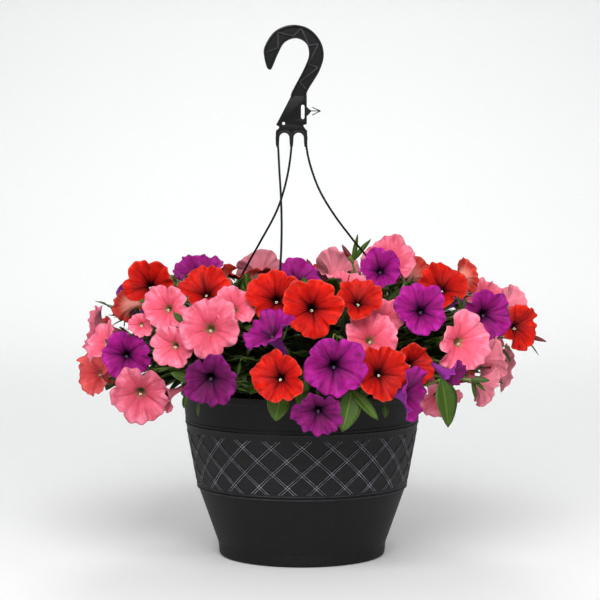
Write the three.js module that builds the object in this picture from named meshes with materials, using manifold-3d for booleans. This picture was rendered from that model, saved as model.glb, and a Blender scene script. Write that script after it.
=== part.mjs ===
// A petunia hanging basket: a moulded plastic pot with a quilted band, its one-piece hanger, the soil,
// six leafy shoots that grow from it, and the blooms that stand in their calyces.
// Millimetres, +Z up. The origin is the centre of the pot's underside, and -Y is the front.

import * as THREE from 'three';
import { mergeVertices } from 'three/addons/utils/BufferGeometryUtils.js';
import Module from 'manifold-3d';

const wasm = await Module();
wasm.setup();
const { Manifold, Mesh: SolidMesh } = wasm;

// Driving dimensions

const CLEARANCE = 0.3; // between pieces that touch
const SIMPLIFY = 0.02; // slivers thinner than this are merged away where bodies are joined

const POT_HEIGHT = 177;
const RIM_RADIUS = 127.5;
const LIP_HEIGHT = 8.5;
const WALL = 2.4;
const FLOOR = 3;
const FOOT_HEIGHT = 12;
const FOOT_RADIUS = 88.1;
const BASE_RADIUS = 85;
const BAND_LOW = 75.8; // the quilted band's lower border
const BAND_HIGH = 140; // and its upper border
const BAND_LOW_RADIUS = 110.2;
const BAND_HIGH_RADIUS = 122;
const RIB_HEIGHT = 0.8;
const RIB_HALF_WIDTH = 2;
const COLUMNS = 24; // rib crossings round the band
const FIRST_CROSSING = 85.3; // height of the lowest row of crossings
const CROSSING_STEP = (BAND_HIGH - FIRST_CROSSING) / 4;
const SIDES = 36; // of the pot's rings

const EAR_RADIUS = 117; // where the hanger's arms pass through the ears
const EAR_TOP = POT_HEIGHT - 8;
const EAR_THICK = 3;
const EAR_HOLE = 2;
const EAR_HALF_WIDTH = 7;
const DRAIN_RADIUS = 5;
const DRAIN_CIRCLE = 58;
const DRAINS = 5;

const SOIL_TOP = 150;
const SHOOTS = 6;
const STEM_CIRCLE = 58; // radius of the ring of stems
const STEM_RADIUS = 3.5;
const STEM_ROOT = 118; // how deep the stems start
const FIRST_SECTOR = 21; // the arms run up between the sectors

const ARM_RADIUS = 1.3;
const BEAD_RADIUS = 3.2;
const HOOK_THICK = 9;
const NECK_THICK = 5;
const PRONG_THICK = 3.2;

const DOME_RADIUS = 225; // the dome that the blooms' faces lie on
const DOME_MIDDLE = 30; // its widest level, above the rim
const DOME_RISE = 105;
const DOME_DROP = 90;
const DOME_POWER = 2.5;
const CORE_RADIUS = 132; // the crown of leaves and stems inside it
const CORE_LOW = 9;
const CORE_TOP = 74;
const CORE_GAP = 5;
const CORE_HALF = 50; // how fast it narrows above and below its widest level

const PETAL_THICK = 0.9;
const BLOOM_GAP = 1.3; // least gap between blooms of two nodes
const FURTHEST_MOVE = 60; // of a bloom from its planned place
const TOUCH_STEP = 0.5; // by which a bloom is brought up to its mate
const TUBE_LENGTH = 1.5; // of a bloom's radius
const TUBE_END = 2.5;
const STALK_RADIUS = 1.2;
const STALK_SIDES = 3;
const STALK_GAP = 0.25; // least gap from a stalk to any other piece
const ROOT_SWING = 0.3; // how far from its wedge's middle a stalk may be rooted, in radians
const ROOT_DEPTH = 0.78; // and how deep, as a share of the crown's radius
const ROOT_LEVELS = [20, 58]; // lowest and highest, above the rim
const STALK_LEAVES = 0.3; // how far a stalk runs straight out of the crown, as a share of its reach
const STALK_ARRIVES = 0.35; // and straight into its calyx
const STALK_BULGES = [8, 16, 26, 38, 52]; // how far a stalk may bend aside
const TWIG_ARCH = 0.12;
const BUD_RADIUS = 3;
const BUD_END = 0.8;
const TWIG_SINK = 2; // how far a twig's leaves and buds start inside its stalk
const CALYX_RADIUS = 3.6;
const CALYX_LENGTH = 6;
const LEAF_THICK = 0.8; // each way from the midrib's middle
const LEAF_FOLD = 0.25;
// Where a leaf's width is set: share of the length, share of the width
const LEAF_STATIONS = [[0, 0], [0.3, 0.05], [0.52, 0.9], [0.78, 0.8]];
const BRACT_STATIONS = [[0, 0], [0.35, 0.9], [0.72, 0.8]]; // of a twig's narrow leaf, which has no stalk
const LEAVES_EACH = 8;
const LEAF_TRIES = 160;
const LEAF_GAP = 0.6;
const LEAF_SINK = 9; // how far a leaf starts inside the crown
const LEAF_STALK = 0.9; // least half width
const LEAF_LENGTHS = [45, 95];
const LEAF_WIDTHS = [24, 32];
const LEAF_DROOPS = [0.05, 0.3]; // how far the tip arches down, as a share of the length
const LEAF_CLIMBS = [-0.35, 1.1]; // rise for each unit outward, at the crown's foot and at its top
const LEAF_SWAY = 0.35; // how far a leaf may turn aside, in radians
const LEAF_MARGIN = 0.12; // between the leaves of two sectors, in radians
const LEAF_REACH = 0.97; // of the dome's radius
const LEAF_LOWEST = POT_HEIGHT + 1; // leaves that would hang lower are left out
const BRACT_DROOP = 0.08;
const BRACT_TURNS = [0, 40, -40, 80]; // about its own length, in degrees, tried in this order

const GOLDEN_STEPS = [0.618034, 0.754878, 0.569840]; // these spread a sequence evenly

const TAU = Math.PI * 2;
const UP = new THREE.Vector3(0, 0, 1);
const rad = THREE.MathUtils.degToRad;
const at = (x, y, z) => new THREE.Vector3(x, y, z);
const polar = (radius, angle, z) => at(radius * Math.cos(angle), radius * Math.sin(angle), z);
const mix = (a, b, share) => a + (b - a) * share;

// Materials

const finish = (color, roughness) => new THREE.MeshStandardMaterial({ color, roughness, metalness: 0 });
const MATERIALS = {
  pot: finish(0x252528, 0.7),
  hanger: finish(0x101011, 0.45),
  soil: finish(0x2a1d14, 0.95),
  leaf: finish(0x4a6a22, 0.6),
  red: finish(0xe0230f, 0.6),
  purple: finish(0x9a1ea8, 0.6),
  pink: finish(0xf0748a, 0.6),
  coral: finish(0xee6a62, 0.6),
};

// Solids

/** A closed body from a chain of rings, each with its points, the angle of each point and a size.
 *  Neighbouring rings may differ in their number of points, and are joined by the edges that turn least.
 *  Of two alike, the one that follows the smaller ring is taken, so that both faces of a petal match. */
function skin(rings, pole = null) {
  const points = rings.flatMap((ring) => ring.points);
  const faces = [];
  const starts = [];
  let count = 0;
  for (const ring of rings) {
    starts.push(count);
    count += ring.points.length;
  }
  const angleOf = (ring, k) => ring.angles[k % ring.angles.length] + (k >= ring.angles.length ? TAU : 0);
  for (let r = 0; r + 1 < rings.length; r += 1) {
    const [low, high] = [rings[r], rings[r + 1]];
    const [n, m] = [low.points.length, high.points.length];
    let [i, j] = [0, 0];
    while (i < n || j < m) {
      const lowTurn = i < n ? Math.abs(angleOf(low, i + 1) - angleOf(high, j)) : Infinity;
      const highTurn = j < m ? Math.abs(angleOf(high, j + 1) - angleOf(low, i)) : Infinity;
      const tie = Math.abs(lowTurn - highTurn) < 1e-9;
      const [a, b] = [starts[r] + (i % n), starts[r + 1] + (j % m)];
      if (tie ? low.size <= high.size : lowTurn < highTurn) {
        faces.push(a, starts[r] + ((i + 1) % n), b);
        i += 1;
      } else {
        faces.push(a, starts[r + 1] + ((j + 1) % m), b);
        j += 1;
      }
    }
  }
  for (let k = 1; k + 1 < rings[0].points.length; k += 1) faces.push(0, k + 1, k);
  const [last, size] = [starts[rings.length - 1], rings[rings.length - 1].points.length];
  if (pole) {
    points.push(pole);
    for (let k = 0; k < size; k += 1) faces.push(points.length - 1, last + k, last + ((k + 1) % size));
  } else {
    for (let k = 1; k + 1 < size; k += 1) faces.push(last, last + k, last + k + 1);
  }
  return meshOf(points, faces);
}

function meshOf(points, faces) {
  const geometry = new THREE.BufferGeometry();
  const place = new THREE.Float32BufferAttribute(points.flatMap((p) => p.toArray()), 3);
  geometry.setAttribute('position', place);
  geometry.setIndex(faces);
  return geometry;
}

/** A ring round the Z axis. */
function ringOf(radius, z, sides, start = 0) {
  const angles = Array.from({ length: sides }, (_, k) => start + (TAU * k) / sides);
  return { angles, size: radius, points: angles.map((a) => polar(radius, a, z)) };
}

function solidOf(geometry) {
  const bare = geometry.clone();
  bare.deleteAttribute('normal');
  bare.deleteAttribute('uv');
  const merged = mergeVertices(bare, 1e-4);
  const vertProperties = new Float32Array(merged.attributes.position.array);
  const triVerts = new Uint32Array(merged.index.array);
  return new Manifold(new SolidMesh({ numProp: 3, vertProperties, triVerts }));
}

function geometryOf(solid) {
  const mesh = solid.getMesh();
  const geometry = new THREE.BufferGeometry();
  geometry.setAttribute('position', new THREE.BufferAttribute(mesh.vertProperties, 3));
  geometry.setIndex(new THREE.BufferAttribute(mesh.triVerts, 1));
  return geometry;
}

/** A tube through a line of points, each with its radius and its number of sides. Every ring lies square to
 *  the way from the point before it to the one after, and the rings are carried along without twist. */
function tube(line) {
  const last = line.length - 1;
  let normal = at(0.3, 0.5, 0.8);
  return skin(line.map(({ point, radius, sides }, k) => {
    const way = line[Math.min(k + 1, last)].point.clone().sub(line[Math.max(k - 1, 0)].point).normalize();
    normal = normal.clone().addScaledVector(way, -normal.dot(way)).normalize();
    const side = new THREE.Vector3().crossVectors(way, normal);
    const angles = Array.from({ length: sides }, (_, n) => (TAU * n) / sides);
    const points = angles.map((a) => point.clone()
      .addScaledVector(normal, radius * Math.cos(a))
      .addScaledVector(side, radius * Math.sin(a)));
    return { angles, size: 1, points };
  }));
}

function apart(a, b, gap) {
  const [p, q] = [a.boundingBox(), b.boundingBox()];
  return [0, 1, 2].some((k) => p.min[k] - gap > q.max[k] || q.min[k] - gap > p.max[k]);
}

const clearOf = (solid, others, gap) =>
  others.every((other) => apart(solid, other, gap) || solid.minGap(other, gap + 0.5) >= gap);

// Pot

/** The band's wall radius at a height. */
const bandRadius = (z) => mix(BAND_LOW_RADIUS, BAND_HIGH_RADIUS, (z - BAND_LOW) / (BAND_HIGH - BAND_LOW));

/** The direction of a column of the band; every other row has a crossing straight in front. */
const bandAngle = (column) => (TAU * (column - 0.5)) / COLUMNS;

/** One panel of the quilted band: its corners, as [columns round, height], stand raised on the ribs, and
 *  the panel itself lies deeper, inside a sloping edge. */
function bandPanel(points, faces, indexOf, corners) {
  const middle = [0, 1].map((k) => corners.reduce((sum, c) => sum + c[k], 0) / corners.length);
  const columnWidth = (TAU * bandRadius(middle[1])) / COLUMNS;
  const away = (c) => Math.hypot((c[0] - middle[0]) * columnWidth, c[1] - middle[1]);
  const reach = Math.min(...corners.map(away));
  const inset = Math.min(0.6, (1.5 * RIB_HALF_WIDTH) / reach);
  const outer = corners.map(([column, z]) => indexOf(column, z));
  const inner = corners.map(([column, z]) => {
    const [c, h] = [mix(column, middle[0], inset), mix(z, middle[1], inset)];
    points.push(polar(bandRadius(h), bandAngle(c), h));
    return points.length - 1;
  });
  for (let k = 0; k < corners.length; k += 1) {
    const next = (k + 1) % corners.length;
    faces.push(outer[k], outer[next], inner[next], outer[k], inner[next], inner[k]);
    if (k > 0 && next > 0) faces.push(inner[0], inner[k], inner[next]);
  }
}

/** The outer wall and the inner wall are chains of rings; the quilted band joins two of the outer ones. */
function makePot() {
  const points = [];
  const faces = [];
  const known = new Map();
  const indexOf = (column, z) => {
    const key = `${Math.round((column * 100 + 100 * COLUMNS) % (100 * COLUMNS))}_${z.toFixed(2)}`;
    if (!known.has(key)) {
      points.push(polar(bandRadius(z) + RIB_HEIGHT, bandAngle(column), z));
      known.set(key, points.length - 1);
    }
    return known.get(key);
  };
  // How far a rib runs round below its lowest crossing, in columns
  const cut = (0.5 * (FIRST_CROSSING - BAND_LOW)) / CROSSING_STEP;
  const rows = [0, 1, 2, 3, 4].map((row) => FIRST_CROSSING + row * CROSSING_STEP);
  for (let column = 0; column < COLUMNS; column += 1) {
    rows.forEach((z, row) => {
      const c = column + (row % 2 ? 0.5 : 0);
      const [west, east] = [[c, z], [c + 1, z]];
      const north = [c + 0.5, z + CROSSING_STEP];
      const south = [c + 0.5, z - CROSSING_STEP];
      if (row === 0) {
        const foot = [[c + cut, BAND_LOW], [c + 1 - cut, BAND_LOW]];
        bandPanel(points, faces, indexOf, [...foot, east, north, west]);
        faces.push(indexOf(c - cut, BAND_LOW), indexOf(c + cut, BAND_LOW), indexOf(...west));
      } else if (row === rows.length - 1) {
        bandPanel(points, faces, indexOf, [west, south, east]);
      } else {
        bandPanel(points, faces, indexOf, [west, south, east, north]);
      }
    });
  }
  const borderLow = { angles: [], points: [], size: BAND_LOW_RADIUS };
  const borderHigh = { angles: [], points: [], size: BAND_HIGH_RADIUS };
  for (let column = 0; column < COLUMNS; column += 1) {
    for (const c of [column + cut, column + 1 - cut]) {
      borderLow.angles.push(bandAngle(c));
      borderLow.points.push(points[indexOf(c, BAND_LOW)]);
    }
    borderHigh.angles.push(bandAngle(column));
    borderHigh.points.push(points[indexOf(column, BAND_HIGH)]);
  }
  const below = skinOpen([
    ringOf(BASE_RADIUS, 0, SIDES),
    ringOf(BASE_RADIUS + 2, 1.8, SIDES),
    ringOf(FOOT_RADIUS, FOOT_HEIGHT, SIDES),
    ringOf(bandRadius(BAND_LOW) - 1.6, BAND_LOW - 5, SIDES),
    ringOf(bandRadius(BAND_LOW) + 0.5, BAND_LOW - 3.4, SIDES),
    ringOf(bandRadius(BAND_LOW) - 0.5, BAND_LOW - 1.8, SIDES),
    borderLow,
  ], true, false);
  const lipLow = POT_HEIGHT - LIP_HEIGHT;
  const above = skinOpen([
    borderHigh,
    ringOf(BAND_HIGH_RADIUS - 0.1, BAND_HIGH + 2, SIDES),
    ringOf(RIM_RADIUS - 2.4, lipLow, SIDES),
    ringOf(RIM_RADIUS - 0.4, lipLow + 0.6, SIDES),
    ringOf(RIM_RADIUS, POT_HEIGHT - 0.8, SIDES),
    ringOf(RIM_RADIUS - 1, POT_HEIGHT, SIDES),
    ringOf(RIM_RADIUS - 3, POT_HEIGHT, SIDES / 2),
    ...innerWall().reverse(),
  ], false, true);
  const band = meshOf(points, faces);
  let pot = solidOf(joined([below, band, above]));
  for (const arm of ARMS) pot = pot.add(ear(arm.azimuth));
  for (const arm of ARMS) {
    const [x, y] = earPlace(arm.azimuth);
    pot = pot.subtract(drill(EAR_HOLE, 8, x, y, EAR_TOP - 10, POT_HEIGHT));
  }
  for (let k = 0; k < DRAINS; k += 1) {
    const place = polar(DRAIN_CIRCLE, (TAU * (k + 0.5)) / DRAINS, 0);
    pot = pot.subtract(drill(DRAIN_RADIUS, 8, place.x, place.y, -1, FLOOR + 1));
  }
  return pot;
}

/** The pot's inner wall, from the floor up. */
function innerWall(inset = 0) {
  return [
    ringOf(BASE_RADIUS - 1.5 - inset, FLOOR + inset, SIDES / 2),
    ringOf(FOOT_RADIUS - WALL - inset, FOOT_HEIGHT, SIDES / 2),
    ringOf(BAND_LOW_RADIUS - WALL - inset, BAND_LOW, SIDES / 2),
    ringOf(BAND_HIGH_RADIUS - WALL - inset, BAND_HIGH, SIDES / 2),
  ];
}

/** A chain of rings with one end or both left open, to be joined to others. */
function skinOpen(rings, closeStart, closeEnd) {
  const whole = skin(rings);
  const index = Array.from(whole.index.array);
  const startFaces = rings[0].points.length - 2;
  const endFaces = rings[rings.length - 1].points.length - 2;
  const walls = index.length / 3 - startFaces - endFaces;
  const kept = [
    ...index.slice(0, 3 * walls),
    ...(closeStart ? index.slice(3 * walls, 3 * (walls + startFaces)) : []),
    ...(closeEnd ? index.slice(3 * (walls + startFaces)) : []),
  ];
  whole.setIndex(kept);
  return whole;
}

function joined(geometries) {
  const points = [];
  const faces = [];
  for (const geometry of geometries) {
    const first = points.length;
    const place = geometry.attributes.position;
    for (let k = 0; k < place.count; k += 1) {
      points.push(new THREE.Vector3().fromBufferAttribute(place, k));
    }
    for (const k of geometry.index.array) faces.push(first + k);
  }
  return meshOf(points, faces);
}

function drill(radius, sides, x, y, low, high) {
  return solidOf(skin([ringOf(radius, low, sides), ringOf(radius, high, sides)]).translate(x, y, 0));
}

const earPlace = (azimuth) => polar(EAR_RADIUS, rad(azimuth), 0).toArray().slice(0, 2);

/** A flat ear that stands in from the wall, with a round end. */
function ear(azimuth) {
  const wallRadius = BAND_HIGH_RADIUS + 1.2;
  const outline = new THREE.Shape();
  outline.moveTo(wallRadius, -EAR_HALF_WIDTH);
  outline.lineTo(wallRadius, EAR_HALF_WIDTH);
  outline.lineTo(EAR_RADIUS, EAR_HALF_WIDTH);
  outline.absarc(EAR_RADIUS, 0, EAR_HALF_WIDTH, Math.PI / 2, (3 * Math.PI) / 2, false);
  const settings = { depth: EAR_THICK, bevelEnabled: false, curveSegments: 4 };
  const flat = new THREE.ExtrudeGeometry(outline, settings);
  flat.translate(0, 0, EAR_TOP - EAR_THICK).rotateZ(rad(azimuth));
  return solidOf(flat);
}

// Soil

const stemPlace = (shoot) => rad(FIRST_SECTOR + (360 / SHOOTS) * (shoot + 0.5));

/** Fills the pot to a little below its rim, with a low mound and a hole for each stem. */
function makeSoil() {
  const rings = [
    ...innerWall(CLEARANCE).slice(0, 3),
    ringOf(BAND_HIGH_RADIUS - WALL - CLEARANCE, BAND_HIGH, SIDES / 2),
    ringOf(BAND_HIGH_RADIUS - WALL - CLEARANCE + 0.6, SOIL_TOP - 3, SIDES / 2),
    ringOf(STEM_CIRCLE * 1.4, SOIL_TOP + 2, 12),
    ringOf(STEM_CIRCLE * 0.5, SOIL_TOP - 1, 6),
  ];
  let soil = solidOf(skin(rings));
  for (let k = 0; k < SHOOTS; k += 1) {
    const place = polar(STEM_CIRCLE, stemPlace(k), 0);
    const radius = STEM_RADIUS + CLEARANCE;
    soil = soil.subtract(drill(radius, 6, place.x, place.y, STEM_ROOT - CLEARANCE, POT_HEIGHT));
  }
  return soil;
}

// Hanger

// Each arm runs from its prong, through these points, to its ear. The front one crosses the left one.
const ARMS = [
  {
    azimuth: 261,
    route: [[-25.9, 0, 441], [-25, -0.4, 429], [-23.6, -6, 403], [-22, -17, 378], [-21, -34, 350],
      [-21.3, -53, 322], [-22.6, -75, 292], [-21, -98, 255], [-18.8, -113, 215]],
  },
  {
    azimuth: 141,
    route: [[-10.9, 0, 441], [-11.2, 0.4, 426], [-13.6, 3, 406], [-19.2, 9.8, 381], [-27.4, 18, 358],
      [-44, 31.7, 327], [-59, 44, 300], [-78, 60, 262], [-88.5, 71, 222]],
  },
  {
    azimuth: 21,
    route: [[4, 0, 441], [4.8, 0.3, 426], [8.6, 1.6, 408], [18.2, 5.4, 382], [33, 10.6, 357],
      [52.4, 17.5, 331], [74, 26, 304], [95, 35, 268], [106.5, 41, 225]],
  },
];

function spline(shape, points) {
  shape.splineThru(points.map(([x, z]) => new THREE.Vector2(x, z)));
}

/** The hook's outline in the XZ plane, from its root on the neck round its back to its tip, and home
 *  along its inside. */
function hookOutline() {
  const shape = new THREE.Shape();
  shape.moveTo(5, 479);
  shape.lineTo(5, 483);
  shape.lineTo(18.8, 507.3);
  spline(shape, [[22.6, 521.9], [19.6, 535.5], [8, 548.9], [-10.1, 553.5], [-28.2, 546.7],
    [-39, 530.5], [-39.8, 524]]);
  shape.lineTo(-36.3, 509);
  spline(shape, [[-33.5, 506.9], [-31.2, 509]]);
  shape.lineTo(-24.3, 524.9);
  spline(shape, [[-17.8, 535.5], [-5.7, 539.6], [4.6, 533.9], [7.2, 522.7], [2.9, 509.9]]);
  shape.lineTo(-11.8, 481);
  shape.lineTo(-11.8, 479);
  return shape;
}

/** The flat neck below the hook: it widens to the left, and has a notch there and a barbed tag on the
 *  right. */
function neckOutline() {
  const shape = new THREE.Shape();
  shape.moveTo(-11.4, 480);
  const left = [[-27, 449.8], [-24, 448.2], [-24, 446.6], [-27, 443.6], [-27.4, 440]];
  const right = [[5.4, 440], [5, 444], [2.2, 447.5], [1.4, 449.6], [5, 450.7], [5, 459], [7, 460.4],
    [9.6, 462.6], [11, 459.8], [19, 464.4], [11, 468.2], [9.6, 465.4], [7, 466], [5, 468.6], [5, 480]];
  for (const [x, z] of [...left, ...right]) shape.lineTo(x, z);
  const slot = new THREE.Path();
  slot.absarc(0.8, 457.8, 1.8, Math.PI, TAU, false);
  slot.absarc(0.8, 469, 1.8, 0, Math.PI, false);
  const hole = new THREE.Path();
  hole.absarc(-19.2, 451.4, 1.6, 0, TAU, true);
  shape.holes.push(slot, hole);
  return shape;
}

/** The foot of the neck: three prongs under two small arches. */
function prongOutline() {
  const shape = new THREE.Shape();
  shape.moveTo(-27.4, 441);
  shape.lineTo(-27.4, 429);
  shape.lineTo(-24.4, 429);
  shape.lineTo(-24.4, 436.4);
  shape.absarc(-18.4, 436.4, 6, Math.PI, 0, true);
  shape.lineTo(-12.4, 429);
  shape.lineTo(-9.6, 429);
  shape.lineTo(-9.6, 436.4);
  shape.absarc(-3.5, 436.4, 6.1, Math.PI, 0, true);
  shape.lineTo(2.6, 429);
  shape.lineTo(5.4, 429);
  shape.lineTo(5.4, 441);
  shape.lineTo(5.4, 444.5);
  shape.lineTo(-27, 444.5);
  return shape;
}

function plate(shape, thick, curveSegments) {
  const geometry = new THREE.ExtrudeGeometry(shape, { depth: thick, bevelEnabled: false, curveSegments });
  geometry.rotateX(Math.PI / 2).translate(0, thick / 2, 0);
  return solidOf(geometry);
}

/** The arm's twisted cord, straight down through its ear, with a bead that stops it there. */
function armSolid({ azimuth, route }) {
  const [x, y] = earPlace(azimuth);
  const beadTop = EAR_TOP - EAR_THICK - CLEARANCE;
  const end = [[x, y, 190], [x, y, EAR_TOP], [x, y, beadTop - BEAD_RADIUS]];
  const curve = new THREE.CatmullRomCurve3([...route, ...end].map((p) => at(...p)), false, 'centripetal');
  const line = curve.getSpacedPoints(15).map((point) => ({ point, radius: ARM_RADIUS, sides: 6 }));
  const cord = solidOf(tube(line));
  const bead = skin([
    ringOf(BEAD_RADIUS * 0.6, -2 * BEAD_RADIUS, 6),
    ringOf(BEAD_RADIUS, -BEAD_RADIUS, 6),
    ringOf(BEAD_RADIUS, 0, 6),
  ]);
  bead.translate(x, y, beadTop);
  return cord.add(solidOf(bead));
}

function makeHanger() {
  let hanger = plate(hookOutline(), HOOK_THICK, 4)
    .add(plate(neckOutline(), NECK_THICK, 4))
    .add(plate(prongOutline(), PRONG_THICK, 5));
  for (const arm of ARMS) hanger = hanger.add(armSolid(arm));
  return hanger;
}

// Blooms

const PETALS = 5;
const RING_THROAT = { reach: 0.19, deep: 0.8 };
const RING_MIDDLE = { reach: 0.52, deep: 0.17 };
const THROAT_FLOOR = 0.6;

/** How far the rim stands out at an angle: five lobes with a notch between each two. */
function lobe(angle, bloom) {
  const share = Math.abs(Math.sin((PETALS * angle) / 2));
  const [wide, narrow] = [Math.sin(2 * angle + 5 * bloom.phase), Math.sin(3 * angle + 9 * bloom.phase)];
  return 0.89 + 0.12 * share ** 0.7 + (0.04 * wide + 0.03 * narrow);
}

/** How far the rim stands forward at an angle, as a share of the radius: petals curl back, and notches
 *  stand out. */
function wave(angle, bloom) {
  const share = Math.abs(Math.sin((PETALS * angle) / 2));
  const [wide, narrow] = [Math.cos(2 * angle + 7 * bloom.phase), Math.cos(3 * angle + 4 * bloom.phase)];
  return 0.05 - 0.1 * share + 0.07 * wide + 0.05 * narrow;
}

/** The bloom's own axes in the object: right, up and forward, with the roll applied. */
function bloomAxes(bloom) {
  const [turn, tilt, roll] = [rad(bloom.turn), rad(bloom.tilt), rad(bloom.roll)];
  const forward = at(Math.sin(turn) * Math.cos(tilt), -Math.cos(turn) * Math.cos(tilt), Math.sin(tilt));
  const right = at(Math.cos(turn), Math.sin(turn), 0);
  const up = new THREE.Vector3().crossVectors(forward, right);
  return {
    forward,
    right: right.clone().multiplyScalar(Math.cos(roll)).addScaledVector(up, Math.sin(roll)),
    up: up.clone().multiplyScalar(Math.cos(roll)).addScaledVector(right, -Math.sin(roll)),
  };
}

/** A trumpet of five joined petals: a ring at the tube's end, one at the throat, one halfway out and one at
 *  the rim, then back over the front face to the floor of the throat. */
function bloomSolid(bloom) {
  const { forward, right, up } = bloomAxes(bloom);
  const radius = bloom.wide / 2;
  const put = (reach, angle, ahead) => bloom.place.clone()
    .addScaledVector(right, reach * Math.cos(angle))
    .addScaledVector(up, reach * Math.sin(angle))
    .addScaledVector(forward, ahead);
  const petalAngles = (offsets) => Array.from({ length: PETALS }, (_, k) => k)
    .flatMap((k) => offsets.map((offset) => rad(72 * k + offset)));
  const ring = (offsets, reachAt, aheadAt, size) => {
    const angles = petalAngles(offsets);
    return { angles, size, points: angles.map((a) => put(reachAt(a), a, aheadAt(a))) };
  };
  const tubeEnd = ring([0], () => TUBE_END, () => -TUBE_LENGTH * radius, 0);
  const throat = ring([0], () => RING_THROAT.reach * radius, () => -RING_THROAT.deep * radius, 1);
  const middle = (lift) => ring([36], () => RING_MIDDLE.reach * radius,
    (a) => radius * (0.35 * wave(a, bloom) - RING_MIDDLE.deep) + lift, 2);
  const rim = (lift) => ring([0, 23, 49], (a) => radius * lobe(a, bloom),
    (a) => radius * wave(a, bloom) + lift, 3);
  const pole = put(0, 0, -THROAT_FLOOR * radius);
  return skin([tubeEnd, throat, middle(-PETAL_THICK), rim(-PETAL_THICK), rim(0), middle(0)], pole);
}

/** The dome's radius at a height above the rim. */
function domeRadius(up) {
  const share = Math.abs(up - DOME_MIDDLE) / (up > DOME_MIDDLE ? DOME_RISE : DOME_DROP);
  return DOME_RADIUS * Math.max(0, 1 - share ** DOME_POWER) ** (1 / DOME_POWER);
}

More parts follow.
